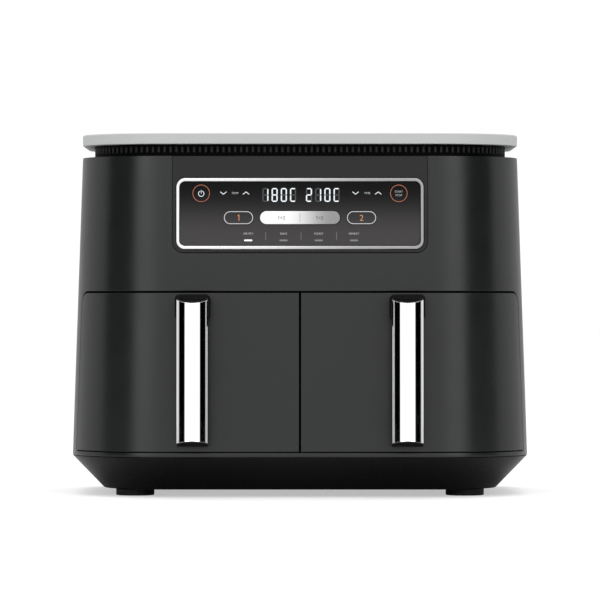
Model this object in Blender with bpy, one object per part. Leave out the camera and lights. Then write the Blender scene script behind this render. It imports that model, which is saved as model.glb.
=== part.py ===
"""Dual-drawer countertop air fryer, piece by piece.

Metres, +Z up, the front faces -Y. The origin is on the floor, under the middle of the whole object.
Left and right are as seen from the front: left is -X.
"""

import math

import bmesh
import bpy
from mathutils import Matrix, Vector

# ---- driving dimensions -------------------------------------------------------------------------

SIDES = (("left", -1), ("right", 1))

# Overall
BODY_WIDTH = 0.4126  # at the sill, where the body is widest
BODY_DEPTH = 0.270  # without the handles
HANDLE_REACH = 0.045  # handle front ahead of the drawer front
FRONT_RADIUS = 0.088
REAR_RADIUS = 0.060
TAPER = 0.0344  # how far each side leans in, per metre of height

# Heights, from the floor up
FOOT_HEIGHT = 0.0057
BASE_HEIGHT = 0.0295
SILL_HEIGHT = 0.0040
SILL_SEAM = 0.0008
DRAWER_HEIGHT = 0.1415
BROW_SEAM = 0.0016
UPPER_HEIGHT = 0.1206
NECK_HEIGHT = 0.0101
LID_THICKNESS = 0.0100

# Walls and clearances
GAP = 0.0003  # between pieces that touch
WALL = 0.0030  # housing, base tray and drawer fronts
SHEET = 0.0012  # cavity liners and reflectors
BASKET_WALL = 0.0020
KEY_GAP = 0.0004
HOUSING_EDGE = 0.0010
SCREW_RADIUS = 0.0020
SCREW_HEAD = 2.1  # head to shank

# Base and feet
BASE_CHAMFER = 0.0287
INTAKES = 4  # slots under each zone
INTAKE_LENGTH = 0.0600
INTAKE_WIDTH = 0.0050
INTAKE_PITCH = 0.0120
FOOT_RADIUS = 0.01725
FOOT_EDGE = 0.0012
FOOT_SIDE_SETBACK = 0.0577
FOOT_FRONT_SETBACK = 0.0600
FOOT_REAR_SETBACK = 0.0490

# Lid and neck
LID_EDGE = 0.0032
NECK_INSET = 0.0110
NECK_WALL = 0.0025
NECK_BAND = (0.30, 0.78)  # the ribs' lower and upper end, as shares of the neck's height
NECK_CELLS = 4  # ribs along one side or round one corner of the neck
AIR_HOLE_RADIUS = 0.0300

# Drawer fronts
CENTRE_SEAM = 0.0016
DRAWER_WRAP = 0.0600  # depth of the drawer front round the corner
WRAP_CORNER = 0.0110
FRAME_SETBACK = 0.0140  # inner frame, ahead of the drawer front's rear edge
FRAME_THICKNESS = 0.0022
SURROUND_THICKNESS = 0.0030

# Cooking zones
CENTRE_WALL = 0.0120  # between the two liners
SIDE_SPACE = 0.0183  # liner to the widest side of the body
REAR_SPACE = 0.0440  # basket to the rear of the body
FRONT_SPACE = 0.0200  # basket to the front of the body
LINER_FLOOR_HEIGHT = 0.0030  # above the drawer's lower edge
LINER_ABOVE_DRAWER = 0.0135
LINER_REAR_GAP = 0.0090
MOUTH_HEAD = 0.0180  # from the liner's top down to the surround's mouth
BASKET_SIDE_GAP = 0.0070
BASKET_FLOOR_GAP = 0.0013
BASKET_BELOW_DRAWER = 0.0140  # basket's rim below the drawer's top
BASKET_RADIUS = 0.0380
BASKET_FLOOR_RADIUS = 0.0060
PLATE_GAP = 0.0020  # crisper plate to the basket's wall
PLATE_LIFT = 0.0150  # crisper plate above the basket's floor
PLATE_THICKNESS = 0.0020
PLATE_SLOTS = 10  # in each ring of slots
PLATE_RINGS = ((0.0280, 0.0180), (0.0540, 0.0200))  # each ring's radius and its slots' length
PLATE_SLOT_WIDTH = 0.0044
PLATE_HOLE_RADIUS = 0.0090
LEG_RADIUS = 0.0045
LEG_INSET = 0.0220
REFLECTOR_MARGIN = 0.01705  # to the liner's front and rear
REFLECTOR_FLANGE = 0.0080
REFLECTOR_BEND = 0.0060
REFLECTOR_HEIGHT = 0.0170
HEATER_INSET = 0.0160  # from the reflector's radius
HEATER_ROD = 0.0032
HEATER_DROP = 0.0060
HEATER_ENDS = (math.radians(100), math.radians(440))
GRILLE_INSET = 0.0040  # from the reflector's radius
GRILLE_BELOW_HEAD = 0.0170
GRILLE_HUB = 0.0140
GRILLE_BAR = 0.0040
MOTOR_SHARE = 0.55  # the motor's flange, against the reflector's flat top
MOTOR_FLANGE = 0.0050  # wider than the can
MOTOR_HEIGHT = 0.0300
SHAFT_RADIUS = 0.0030
SHAFT_CLEAR = 0.0010
FAN_CLEAR = 0.0080  # hot fan to the heater's middle
FAN_BLADES = 8
HOT_FAN = (0.0090, 0.0100, 0.0080)  # hub radius, height, sweep of a blade
COOLING_FAN = (0.0080, 0.0120, 0.0050)
COOLING_FAN_RADIUS = 0.0300
SENSOR_RADIUS = 0.0030
SENSOR_REACH = 0.95  # along both axes, against the reflector's radius

# Control panel, on the leaning front plane
FASCIA_MARGIN = 0.0043  # to the front corners
FASCIA_HEIGHT = 0.0864
FASCIA_RADIUS = 0.0100
BEZEL_MARGIN = 0.0037
BEZEL_HEIGHT = 0.0635
BEZEL_RADIUS = 0.0080
BEZEL_RING = 0.0030
BEZEL_PROUD = 0.0010
BEZEL_ROLL = 0.0008
BEZEL_BELOW_RIM = 0.0198
LENS_RECESS = 0.0006
LENS_THICKNESS = 0.0024
KEY_DEPTH = 0.0044
KEY_RADIUS = 0.0078
KEY_FROM_EDGE = 0.0223  # power and start keys, from the bezel's ends
ZONE_KEY_SPAN = 0.1096
ZONE_KEY_WIDTH = 0.0262
PILL_HEIGHT = 0.0117
SYNC_KEY_WIDTH = 0.0714
KEY_ABOVE_MIDDLE = 0.0182
PILL_BELOW_MIDDLE = 0.0035
BOARD_BEHIND_LENS = 0.0042
BOARD_MARGIN = 0.0060
BOARD_THICKNESS = 0.0016
DISPLAY_WIDTH = 0.0900
DISPLAY_RISE = (-0.0095, 0.0085)  # its lower and upper edge about the upper row's middle
POWER_BOARD = (0.1400, 0.0700)
POWER_BOARD_SETBACK = 0.0100
POWER_BOARD_RISE = 0.0200
POWER_PARTS = ((-0.045, 0.030, 0.012, 0.040), (0.030, 0.044, 0.020, 0.024))  # x, width, rise, height

# Handles
HANDLE_FROM_BEND = 0.0233  # handle's middle to the start of the front corner
HANDLE_WIDTH = 0.0278
HANDLE_THICKNESS = 0.0190
HANDLE_BULGE = 0.0070
HANDLE_BACK_RADIUS = 0.0050
HANDLE_FOOT = 0.0148  # lower end, above the sill line of the housing
HANDLE_LOWER_SLOPE = 0.24
HANDLE_UPPER_SLOPE = 0.43
COVER_WALL = 0.0015
COVER_WRAP = 0.0100
NECK_BLOCK_WIDTH = 0.0312
NECK_BLOCK_HEIGHT = 0.0235
NECK_BLOCK_DEPTH = 0.0080  # into the bar
NECK_BLOCK_ABOVE_BAR = 0.0070
NECK_BLOCK_BELOW_DRAWER = 0.0020
HANDLE_SCREW_REACH = 0.0120

# Rear cover
REAR_COVER_MARGIN = 0.0140  # inside the flat part of the rear wall
REAR_COVER_LOW = 0.0300
REAR_COVER_BELOW_RIM = 0.0250
REAR_COVER_THICKNESS = 0.0016
REAR_COVER_RADIUS = 0.0080
REAR_LEDGE = 0.0080
REAR_SCREW_LENGTH = 0.0080
LOUVRES = 7
LOUVRE_WIDTH = 0.0036
LOUVRE_PITCH = 0.0100
LOUVRE_SHARE = (0.62, 0.47)  # of the cover's half width: a louvre's length and its middle's place
GLAND_RADIUS = 0.0080
GLAND_BORE = 0.0045
GLAND_LENGTH = 0.0080
GLAND_PROUD = 0.0018
GLAND_X = 0.0900
GLAND_ABOVE_COVER = 0.0250

CORNER_STEPS = 9
ROUND_STEPS = 24

# ---- derived places -----------------------------------------------------------------------------

Y_REAR = (BODY_DEPTH + HANDLE_REACH) / 2
Y_FRONT = Y_REAR - BODY_DEPTH
Z_BASE = FOOT_HEIGHT + GAP
Z_HOUSING = Z_BASE + BASE_HEIGHT + GAP
Z_SILL = Z_HOUSING + SILL_HEIGHT
Z_DRAWER = Z_SILL + SILL_SEAM
Z_DRAWER_TOP = Z_DRAWER + DRAWER_HEIGHT
Z_BROW = Z_DRAWER_TOP + BROW_SEAM
Z_RIM = Z_BROW + UPPER_HEIGHT
Z_NECK = Z_RIM + GAP
Z_LID = Z_NECK + NECK_HEIGHT + GAP
Y_PARTING = Y_FRONT + DRAWER_WRAP
Y_SURROUND = Y_PARTING + BROW_SEAM

LINER_INNER_X = CENTRE_WALL / 2
LINER_OUTER_X = BODY_WIDTH / 2 - SIDE_SPACE
ZONE_X = (LINER_INNER_X + LINER_OUTER_X) / 2
Z_LINER = Z_DRAWER + LINER_FLOOR_HEIGHT
Z_LINER_TOP = Z_DRAWER_TOP + LINER_ABOVE_DRAWER
BASKET_HALF_WIDTH = (LINER_OUTER_X - LINER_INNER_X) / 2 - SHEET - BASKET_SIDE_GAP
BASKET_FRONT = Y_FRONT + FRONT_SPACE
BASKET_REAR = Y_REAR - REAR_SPACE
ZONE_Y = (BASKET_FRONT + BASKET_REAR) / 2
LINER_FRONT = Y_SURROUND + SURROUND_THICKNESS + GAP
LINER_REAR = BASKET_REAR + LINER_REAR_GAP
HEAD_Y = (LINER_FRONT + LINER_REAR) / 2
Z_BASKET = Z_LINER + SHEET + BASKET_FLOOR_GAP
Z_BASKET_TOP = Z_DRAWER_TOP - BASKET_BELOW_DRAWER
Z_PLATE = Z_BASKET + BASKET_WALL + PLATE_LIFT
Z_REFLECTOR = Z_LINER_TOP + GAP
Z_MOTOR = Z_REFLECTOR + REFLECTOR_HEIGHT + GAP
REFLECTOR_RADIUS = (LINER_REAR - LINER_FRONT) / 2 - REFLECTOR_MARGIN
REFLECTOR_FLAT = REFLECTOR_RADIUS - SHAFT_CLEAR * 2 - REFLECTOR_BEND
HEATER_RADIUS = REFLECTOR_RADIUS - HEATER_INSET
MOTOR_RADIUS = REFLECTOR_FLAT * MOTOR_SHARE - MOTOR_FLANGE
GRILLE_RADIUS = REFLECTOR_RADIUS - GRILLE_INSET

LEAN = math.atan(TAPER)
PANEL_TOP = Z_RIM - Z_HOUSING
PANEL_MIDDLE = PANEL_TOP - BEZEL_BELOW_RIM - BEZEL_HEIGHT / 2
FASCIA_WIDTH = BODY_WIDTH - 2 * (FRONT_RADIUS + FASCIA_MARGIN)
BEZEL_WIDTH = FASCIA_WIDTH - 2 * BEZEL_MARGIN
KEY_SPAN = BEZEL_WIDTH - 2 * KEY_FROM_EDGE
LENS_BACK = LENS_RECESS + LENS_THICKNESS
BOARD_FRONT = LENS_BACK + BOARD_BEHIND_LENS

HANDLE_X = BODY_WIDTH / 2 - FRONT_RADIUS - HANDLE_FROM_BEND
NECK_BLOCK_TOP = Z_DRAWER_TOP - Z_HOUSING - NECK_BLOCK_BELOW_DRAWER
HANDLE_TOP = NECK_BLOCK_TOP - NECK_BLOCK_ABOVE_BAR

# ---- finishes: colour (0-255 as seen), roughness, metallic ---------------------------------------

GRAPHITE = ((64, 66, 65), 0.42, 0.0)
FASCIA_GREY = ((52, 54, 53), 0.42, 0.0)
BASE_BLACK = ((22, 22, 23), 0.50, 0.0)
TRIM_BLACK = ((18, 18, 19), 0.45, 0.0)
LID_GREY = ((196, 199, 198), 0.45, 0.0)
CHROME = ((225, 225, 228), 0.08, 1.0)
SILVER = ((190, 190, 193), 0.25, 1.0)
COPPER = ((184, 120, 92), 0.30, 1.0)
LENS_BLACK = ((14, 14, 16), 0.06, 0.0)
DISPLAY_WHITE = ((225, 232, 235), 0.50, 0.0)
BOARD_GREEN = ((30, 84, 56), 0.50, 0.0)
LINER_STEEL = ((150, 150, 148), 0.35, 1.0)
NONSTICK = ((34, 34, 36), 0.38, 0.2)
HEATER_STEEL = ((92, 88, 84), 0.45, 1.0)
MOTOR_STEEL = ((140, 140, 140), 0.40, 1.0)
RUBBER = ((26, 26, 26), 0.80, 0.0)
SCREW_STEEL = ((120, 120, 122), 0.35, 1.0)


# ---- helpers ------------------------------------------------------------------------------------


def clear_scene():
    for obj in list(bpy.data.objects):
        bpy.data.objects.remove(obj, do_unlink=True)


def linear(channel):
    value = channel / 255
    return value / 12.92 if value <= 0.04045 else ((value + 0.055) / 1.055) ** 2.4


def material(name, finish):
    colour, roughness, metallic = finish
    made = bpy.data.materials.new(name)
    made.use_nodes = True
    shader = made.node_tree.nodes["Principled BSDF"]
    shader.inputs["Base Color"].default_value = (*(linear(c) for c in colour), 1.0)
    shader.inputs["Roughness"].default_value = roughness
    shader.inputs["Metallic"].default_value = metallic
    return made


def add_object(name, mesh, finish=None, parent=None):
    obj = bpy.data.objects.new(name, mesh)
    bpy.context.scene.collection.objects.link(obj)
    obj.parent = parent
    if finish:
        mesh.materials.append(material(name, finish))
    return obj


def mesh_from(bm, name, smooth_angle=None):
    bmesh.ops.remove_doubles(bm, verts=bm.verts, dist=1e-7)
    bmesh.ops.recalc_face_normals(bm, faces=bm.faces)
    mesh = bpy.data.meshes.new(name)
    bm.to_mesh(mesh)
    bm.free()
    if smooth_angle is not None:
        mesh.shade_smooth()
        mesh.set_sharp_from_angle(angle=math.radians(smooth_angle))
    return mesh


def empty(name, location=(0, 0, 0), rotation=(0, 0, 0), parent=None):
    obj = bpy.data.objects.new(name, None)
    bpy.context.scene.collection.objects.link(obj)
    obj.location = location
    obj.rotation_euler = rotation
    obj.parent = parent
    return obj


def boolean(obj, cutter, operation="DIFFERENCE"):
    """The other object stays in the file as a hidden helper."""
    cutter.hide_render = True
    cutter.display_type = "WIRE"
    modifier = obj.modifiers.new(operation.title(), "BOOLEAN")
    modifier.operation = operation
    modifier.object = cutter
    modifier.solver = "EXACT"


def loft(loops, wrap=False):
    """A closed solid through loops with equal numbers of points. Wrapped, the last joins the first."""
    bm = bmesh.new()
    rings = [[bm.verts.new(point) for point in loop] for loop in loops]
    count = len(rings[0])
    pairs = list(zip(rings, rings[1:] + rings[:1])) if wrap else list(zip(rings, rings[1:]))
    for low, high in pairs:
        for i in range(count):
            j = (i + 1) % count
            bm.faces.new((low[i], low[j], high[j], high[i]))
    if not wrap:
        bm.faces.new(rings[0])
        bm.faces.new(rings[-1])
    return bm


def turned(profile, steps=ROUND_STEPS):
    """A closed (radius, height) outline turned round Z. Points on the axis meet in one point."""
    bm = bmesh.new()
    rings = []
    for i in range(steps):
        angle = 2 * math.pi * i / steps
        ring = [Vector((r * math.cos(angle), r * math.sin(angle), z)) for r, z in profile]
        rings.append([bm.verts.new(point) for point in ring])
    for ring, following in zip(rings, rings[1:] + rings[:1]):
        for i in range(len(profile)):
            j = (i + 1) % len(profile)
            if profile[i][0] == 0 and profile[j][0] == 0:
                continue
            bm.faces.new((ring[i], ring[j], following[j], following[i]))
    bmesh.ops.remove_doubles(bm, verts=bm.verts, dist=1e-7)
    return bm


def flat(u, v, w):
    return Vector((u, v, w))


def upright(u, v, w):
    return Vector((u, w, v))


def plate(outer, holes, low, high, place=flat):
    """A plate with holes, drawn in two dimensions and extruded from low to high."""
    bm = bmesh.new()
    edges = []
    for loop in [outer, *holes]:
        verts = [bm.verts.new(place(u, v, low)) for u, v in loop]
        edges += [bm.edges.new((a, b)) for a, b in zip(verts, verts[1:] + verts[:1])]
    bmesh.ops.triangle_fill(bm, use_beauty=True, use_dissolve=False, edges=edges)
    made = bmesh.ops.extrude_face_region(bm, geom=bm.faces[:] + edges, use_keep_orig=True)
    moved = [item for item in made["geom"] if isinstance(item, bmesh.types.BMVert)]
    bmesh.ops.translate(bm, verts=moved, vec=place(0, 0, high) - place(0, 0, low))
    return bm


def arc(centre, radius, start, end, steps):
    return [
        (
            centre[0] + radius * math.cos(math.radians(start + (end - start) * i / steps)),
            centre[1] + radius * math.sin(math.radians(start + (end - start) * i / steps)),
        )
        for i in range(steps + 1)
    ]


def circle(centre, radius, steps=ROUND_STEPS):
    return arc(centre, radius, 0, 360 * (steps - 1) / steps, steps - 1)


def rounded(low, high, radii, steps=4):
    """A rounded rectangle, anticlockwise from the low-y, high-x corner. One radius for each corner."""
    (x0, y0), (x1, y1) = low, high
    a, b, c, d = radii
    return (
        arc((x1 - a, y0 + a), a, -90, 0, steps)
        + arc((x1 - b, y1 - b), b, 0, 90, steps)
        + arc((x0 + c, y1 - c), c, 90, 180, steps)
        + arc((x0 + d, y0 + d), d, 180, 270, steps)
    )


def pill(centre, width, height, steps=6):
    x, y = centre
    half = (width - height) / 2
    right = arc((x + half, y), height / 2, -90, 90, steps)
    return right + arc((x - half, y), height / 2, 90, 270, steps)


def at_height(outline, z):
    return [Vector((x, y, z)) for x, y in outline]


def box(low, high):
    (x0, y0, z0), (x1, y1, z1) = low, high
    corners = [(x0, y0), (x1, y0), (x1, y1), (x0, y1)]
    return loft([at_height(corners, z0), at_height(corners, z1)])


def cutter(bm, name, parent=None):
    return add_object(name + "_cutter", mesh_from(bm, name + "_cutter"), parent=parent)


def aimed(bm, direction, place=(0, 0, 0)):
    """Turns a shape made along +Z to point along a direction, then moves it."""
    turn = Vector((0, 0, 1)).rotation_difference(Vector(direction)).to_matrix().to_4x4()
    bmesh.ops.transform(bm, matrix=Matrix.Translation(place) @ turn, verts=bm.verts)
    return bm


def lean_at(z):
    """How far the tapering sides have come in at this height."""
    return TAPER * (z - Z_HOUSING)


def body_outline(inset, steps=CORNER_STEPS):
    half = BODY_WIDTH / 2 - inset
    front = FRONT_RADIUS - inset
    rear = REAR_RADIUS - inset
    low = (-half, Y_FRONT + inset)
    high = (half, Y_REAR - inset)
    return rounded(low, high, (front, rear, rear, front), steps)


def body_level(z, inset=0.0):
    return at_height(body_outline(lean_at(z) + inset), z)


def body_solid(z0, z1, inset=0.0):
    return loft([body_level(z0, inset), body_level(z1, inset)])


# ---- casing -------------------------------------------------------------------------------------


def make_lid():
    base = lean_at(Z_RIM)
    low_edge = LID_EDGE / 5
    steps = (
        (0.0, low_edge),
        (low_edge, 0.0),
        (LID_THICKNESS - LID_EDGE, 0.0),
        (LID_THICKNESS - LID_EDGE / 4, LID_EDGE / 3),
        (LID_THICKNESS, LID_EDGE),
    )
    loops = [at_height(body_outline(base + inset), Z_LID + rise) for rise, inset in steps]
    return add_object("top_plate", mesh_from(loft(loops), "top_plate", 40), LID_GREY)


def neck_points(inset):
    """The neck's outline with its ribs and gaps: the straight stretches are divided evenly."""
    corners = body_outline(lean_at(Z_RIM) + NECK_INSET + inset, NECK_CELLS * 2)
    per_corner = NECK_CELLS * 2 + 1
    points = []
    for corner in range(4):
        points += corners[corner * per_corner : (corner + 1) * per_corner]
        start = Vector(points[-1])
        end = Vector(corners[((corner + 1) * per_corner) % len(corners)])
        cells = NECK_CELLS * 2 + 1
        points += [tuple(start.lerp(end, i / cells)) for i in range(1, cells)]
    return points


def make_vent_neck():
    """A ring wall whose middle band is open between upright ribs."""
    outer = neck_points(0.0)
    inner = neck_points(NECK_WALL)
    band = [NECK_HEIGHT * share for share in (0.0, *NECK_BAND, 1.0)]
    count = len(outer)
    bm = bmesh.new()
    walls = [
        [[bm.verts.new((x, y, Z_NECK + rise)) for x, y in outline] for rise in band]
        for outline in (outer, inner)
    ]

    def rib(cell):
        return cell % 2 == 0

    for i in range(count):
        j = (i + 1) % count
        for layer in range(3):
            if layer != 1 or rib(i):
                for wall in walls:
                    bm.faces.new((wall[layer][i], wall[layer][j], wall[layer + 1][j], wall[layer + 1][i]))
        for level in (0, 3) if rib(i) else (0, 1, 2, 3):
            pair = (walls[0][level], walls[1][level])
            bm.faces.new((pair[0][i], pair[0][j], pair[1][j], pair[1][i]))
        if rib(i) != rib(i - 1):
            bm.faces.new((walls[0][1][i], walls[0][2][i], walls[1][2][i], walls[1][1][i]))
    return add_object("vent_neck", mesh_from(bm, "vent_neck"), TRIM_BLACK)


def make_top_deck():
    outline = body_outline(lean_at(Z_RIM) + WALL + GAP)
    holes = [circle((side * ZONE_X, HEAD_Y), AIR_HOLE_RADIUS) for side in (-1, 1)]
    bm = plate(outline, holes, Z_RIM - WALL, Z_RIM)
    return add_object("top_deck", mesh_from(bm, "top_deck"), TRIM_BLACK)


def drawer_envelope(low, high, rear, name):
    """The space of the drawer fronts in side view, right across the body, for cutting or keeping."""
    reach = BODY_WIDTH
    front = Y_FRONT - HANDLE_REACH
    top = WRAP_CORNER + (high - Z_DRAWER_TOP)
    profile = [(front, low), (rear, low), (rear, high - top)]
    profile += arc((rear - top, high - top), top, 0, 90, 6)[1:] + [(front, high)]
    bm = loft([[Vector((x, y, z)) for y, z in profile] for x in (-reach, reach)])
    return cutter(bm, name)


def make_housing():
    """A tube with the drawers' space, the fascia's notch and the rear cover's recess cut away."""
    loops = [
        body_level(Z_HOUSING, HOUSING_EDGE),
        body_level(Z_HOUSING + HOUSING_EDGE),
        body_level(Z_RIM - HOUSING_EDGE),
        body_level(Z_RIM, HOUSING_EDGE),
        body_level(Z_RIM, WALL),
        body_level(Z_HOUSING, WALL),
    ]
    obj = add_object("outer_housing", mesh_from(loft(loops, wrap=True), "outer_housing", 40), GRAPHITE)
    boolean(obj, drawer_envelope(Z_SILL, Z_BROW, Y_PARTING + BROW_SEAM / 2, "housing_mouth"))
    half = FASCIA_WIDTH / 2
    radii = (FASCIA_RADIUS, GAP, GAP, FASCIA_RADIUS)
    notch = rounded((-half, PANEL_TOP - FASCIA_HEIGHT), (half, PANEL_TOP + WALL), radii)
    boolean(obj, cutter(plate(notch, [], -WALL, 2 * WALL, upright), "fascia_notch", FRONT_PLANE))
    recess = plate(rear_cover_outline(-GAP), [], -REAR_COVER_THICKNESS - GAP, WALL, upright)
    boolean(obj, cutter(recess, "rear_recess", REAR_PLANE))
    window = rear_cover_outline(REAR_LEDGE)
    boolean(obj, cutter(plate(window, [], -2 * WALL, WALL, upright), "rear_window", REAR_PLANE))
    for number, place in enumerate(rear_screw_places(), 1):
        hole = plate(circle(place, SCREW_RADIUS + GAP, 10), [], -2 * WALL, WALL, upright)
        boolean(obj, cutter(hole, f"ledge_hole_{number}", REAR_PLANE))
    return obj


def rear_cover_outline(inset):
    half = BODY_WIDTH / 2 - REAR_RADIUS - REAR_COVER_MARGIN - inset
    low = REAR_COVER_LOW + inset
    high = PANEL_TOP - REAR_COVER_BELOW_RIM - inset
    return rounded((-half, low), (half, high), (REAR_COVER_RADIUS,) * 4, 3)


def rear_screw_places():
    half = BODY_WIDTH / 2 - REAR_RADIUS - REAR_COVER_MARGIN - REAR_LEDGE / 2
    high = PANEL_TOP - REAR_COVER_BELOW_RIM - REAR_LEDGE
    return [(-half, high), (half, high)]


def gland_place():
    return (GLAND_X, REAR_COVER_LOW + GLAND_ABOVE_COVER)


def make_rear_cover():
    """A flat cover with two banks of exhaust louvres, the cord gland's hole and two screw holes."""
    middle = (REAR_COVER_LOW + PANEL_TOP - REAR_COVER_BELOW_RIM) / 2
    half_width = BODY_WIDTH / 2 - REAR_RADIUS - REAR_COVER_MARGIN
    length, place = (half_width * share for share in LOUVRE_SHARE)
    holes = [circle(gland_place(), GLAND_RADIUS + GAP, 16)]
    holes += [circle(spot, SCREW_RADIUS + GAP, 10) for spot in rear_screw_places()]
    for _, sign in SIDES:
        for row in range(LOUVRES):
            centre = (sign * place, middle + (row + 0.5) * LOUVRE_PITCH)
            holes.append(pill(centre, length, LOUVRE_WIDTH, 2))
    bm = plate(rear_cover_outline(0.0), holes, -REAR_COVER_THICKNESS, 0.0, upright)
    return add_object("rear_cover", mesh_from(bm, "rear_cover"), TRIM_BLACK, REAR_PLANE)


def make_gland():
    """A low bush: its collar stands on the cover's outer face and its sleeve passes through."""
    profile = [
        (GLAND_BORE, -GLAND_LENGTH),
        (GLAND_RADIUS, -GLAND_LENGTH),
        (GLAND_RADIUS, GAP),
        (GLAND_RADIUS + GLAND_PROUD * 1.4, GAP),
        (GLAND_RADIUS + GLAND_PROUD, GLAND_PROUD),
        (GLAND_BORE, GLAND_PROUD),
    ]
    x, z = gland_place()
    bm = aimed(turned(profile, 16), (0, 1, 0), (x, 0, z))
    return add_object("cord_gland", mesh_from(bm, "cord_gland", 40), TRIM_BLACK, REAR_PLANE)


def screw(length, radius=SCREW_RADIUS):
    """Along +Z: the head is above zero and the shank below."""
    head = radius * SCREW_HEAD
    profile = [(0, -length), (radius, -length), (radius, 0), (head, 0), (head * 0.8, radius), (0, radius)]
    return turned(profile, 10)


def make_rear_screws():
    shared = mesh_from(aimed(screw(REAR_SCREW_LENGTH), (0, 1, 0)), "rear_screw", 40)
    shared.materials.append(material("rear_screw", SCREW_STEEL))
    for side, (x, z) in zip(("left", "right"), rear_screw_places()):
        obj = add_object(f"rear_screw_{side}", shared, parent=REAR_PLANE)
        obj.location = (x, GAP, z)


def make_base_tray():
    """A shallow tray with chamfered sides and intake slots in its floor."""
    slope = WALL * math.sqrt(2)
    share = WALL / BASE_HEIGHT
    loops = [
        at_height(body_outline(BASE_CHAMFER), Z_BASE),
        at_height(body_outline(0.0), Z_BASE + BASE_HEIGHT),
        at_height(body_outline(slope), Z_BASE + BASE_HEIGHT),
        at_height(body_outline(BASE_CHAMFER * (1 - share) + slope), Z_BASE + WALL),
    ]
    obj = add_object("base_tray", mesh_from(loft(loops), "base_tray", 20), BASE_BLACK)
    for side, sign in SIDES:
        for row in range(INTAKES):
            place = (sign * ZONE_X, ZONE_Y + (row - (INTAKES - 1) / 2) * INTAKE_PITCH)
            slot = plate(pill(place, INTAKE_LENGTH, INTAKE_WIDTH, 3), [], 0.0, Z_BASE + 2 * WALL)
            boolean(obj, cutter(slot, f"intake_{side}_{row + 1}"))
    return obj


def make_feet():
    profile = [
        (0, 0),
        (FOOT_RADIUS - FOOT_EDGE, 0),
        (FOOT_RADIUS, FOOT_EDGE),
        (FOOT_RADIUS, FOOT_HEIGHT),
        (0, FOOT_HEIGHT),
    ]
    shared = mesh_from(turned(profile, 20), "foot", 40)
    shared.materials.append(material("foot", RUBBER))
    x = BODY_WIDTH / 2 - FOOT_SIDE_SETBACK
    rows = (("front", Y_FRONT + FOOT_FRONT_SETBACK), ("rear", Y_REAR - FOOT_REAR_SETBACK))
    for row, y in rows:
        for side, sign in SIDES:
            add_object(f"foot_{row}_{side}", shared).location = (sign * x, y, 0)


def make_front_surround():
    """The fixed frame behind the drawer fronts: a wall with two mouths, a floor and a ceiling."""
    inset = WALL + GAP
    bm = body_solid(Z_HOUSING + GAP, Z_BROW + SURROUND_THICKNESS, inset)
    obj = add_object("front_surround", mesh_from(bm, "front_surround"), TRIM_BLACK)
    wide = BODY_WIDTH
    behind = box((-wide, Y_SURROUND + SURROUND_THICKNESS, 0), (wide, Y_REAR + WALL, Z_RIM))
    boolean(obj, cutter(behind, "surround_rear"))
    boolean(obj, drawer_envelope(Z_SILL, Z_BROW, Y_SURROUND, "surround_front"))
    for side, sign in SIDES:
        low = (LINER_INNER_X + SHEET, Y_SURROUND - WALL, Z_LINER + SHEET)
        high = (LINER_OUTER_X - SHEET, LINER_FRONT + WALL, Z_LINER_TOP - MOUTH_HEAD)
        boolean(obj, cutter(side_box(sign, low, high), f"surround_mouth_{side}"))
    return obj


# ---- control panel ------------------------------------------------------------------------------


def centred(width, height, radius, inset=0.0, steps=4):
    """A rounded rectangle about the middle of the panel."""
    w = width / 2 - inset
    h = height / 2 - inset
    low = (-w, PANEL_MIDDLE - h)
    high = (w, PANEL_MIDDLE + h)
    return rounded(low, high, (max(radius - inset, GAP),) * 4, steps)


def key_outlines(grow=0.0):
    """Each key's name, centre and outline on the panel, grown for its opening."""
    high = PANEL_MIDDLE + KEY_ABOVE_MIDDLE
    low = PANEL_MIDDLE - PILL_BELOW_MIDDLE
    tall = PILL_HEIGHT + 2 * grow
    keys = {
        "power_key": (-KEY_SPAN / 2, high),
        "start_key": (KEY_SPAN / 2, high),
        "zone_key_left": (-ZONE_KEY_SPAN / 2, low),
        "zone_key_right": (ZONE_KEY_SPAN / 2, low),
        "sync_match_key": (0.0, low),
    }
    widths = {
        "zone_key_left": ZONE_KEY_WIDTH,
        "zone_key_right": ZONE_KEY_WIDTH,
        "sync_match_key": SYNC_KEY_WIDTH,
    }
    made = {}
    for name, centre in keys.items():
        if name in widths:
            made[name] = (centre, pill(centre, widths[name] + 2 * grow, tall, 5))
        else:
            made[name] = (centre, circle(centre, KEY_RADIUS + grow, 20))
    return made


def make_fascia():
    half = FASCIA_WIDTH / 2 - GAP
    radius = FASCIA_RADIUS - GAP
    low = (-half, PANEL_TOP - FASCIA_HEIGHT + GAP)
    outline = rounded(low, (half, PANEL_TOP - GAP), (radius, GAP, GAP, radius))
    window = centred(BEZEL_WIDTH, BEZEL_HEIGHT, BEZEL_RADIUS, -GAP)
    bm = plate(outline, [window], 0.0, WALL, upright)
    return add_object("control_fascia", mesh_from(bm, "control_fascia"), FASCIA_GREY, FRONT_PLANE)


def make_bezel():
    """A ring with a rolled front edge round the lens."""
    shoulder = -BEZEL_PROUD * 0.4
    sections = ((0.0, WALL), (0.0, shoulder), (BEZEL_ROLL, -BEZEL_PROUD))
    sections += ((BEZEL_RING - BEZEL_ROLL, -BEZEL_PROUD), (BEZEL_RING, shoulder), (BEZEL_RING, WALL))
    loops = []
    for inset, depth in sections:
        outline = centred(BEZEL_WIDTH, BEZEL_HEIGHT, BEZEL_RADIUS, inset)
        loops.append([Vector((x, depth, z)) for x, z in outline])
    mesh = mesh_from(loft(loops, wrap=True), "bezel_ring", 50)
    return add_object("bezel_ring", mesh, CHROME, FRONT_PLANE)


def make_lens():
    outline = centred(BEZEL_WIDTH, BEZEL_HEIGHT, BEZEL_RADIUS, BEZEL_RING + GAP)
    holes = [hole for _, hole in key_outlines(KEY_GAP).values()]
    bm = plate(outline, holes, LENS_RECESS, LENS_BACK, upright)
    return add_object("display_lens", mesh_from(bm, "display_lens"), LENS_BLACK, FRONT_PLANE)


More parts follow.
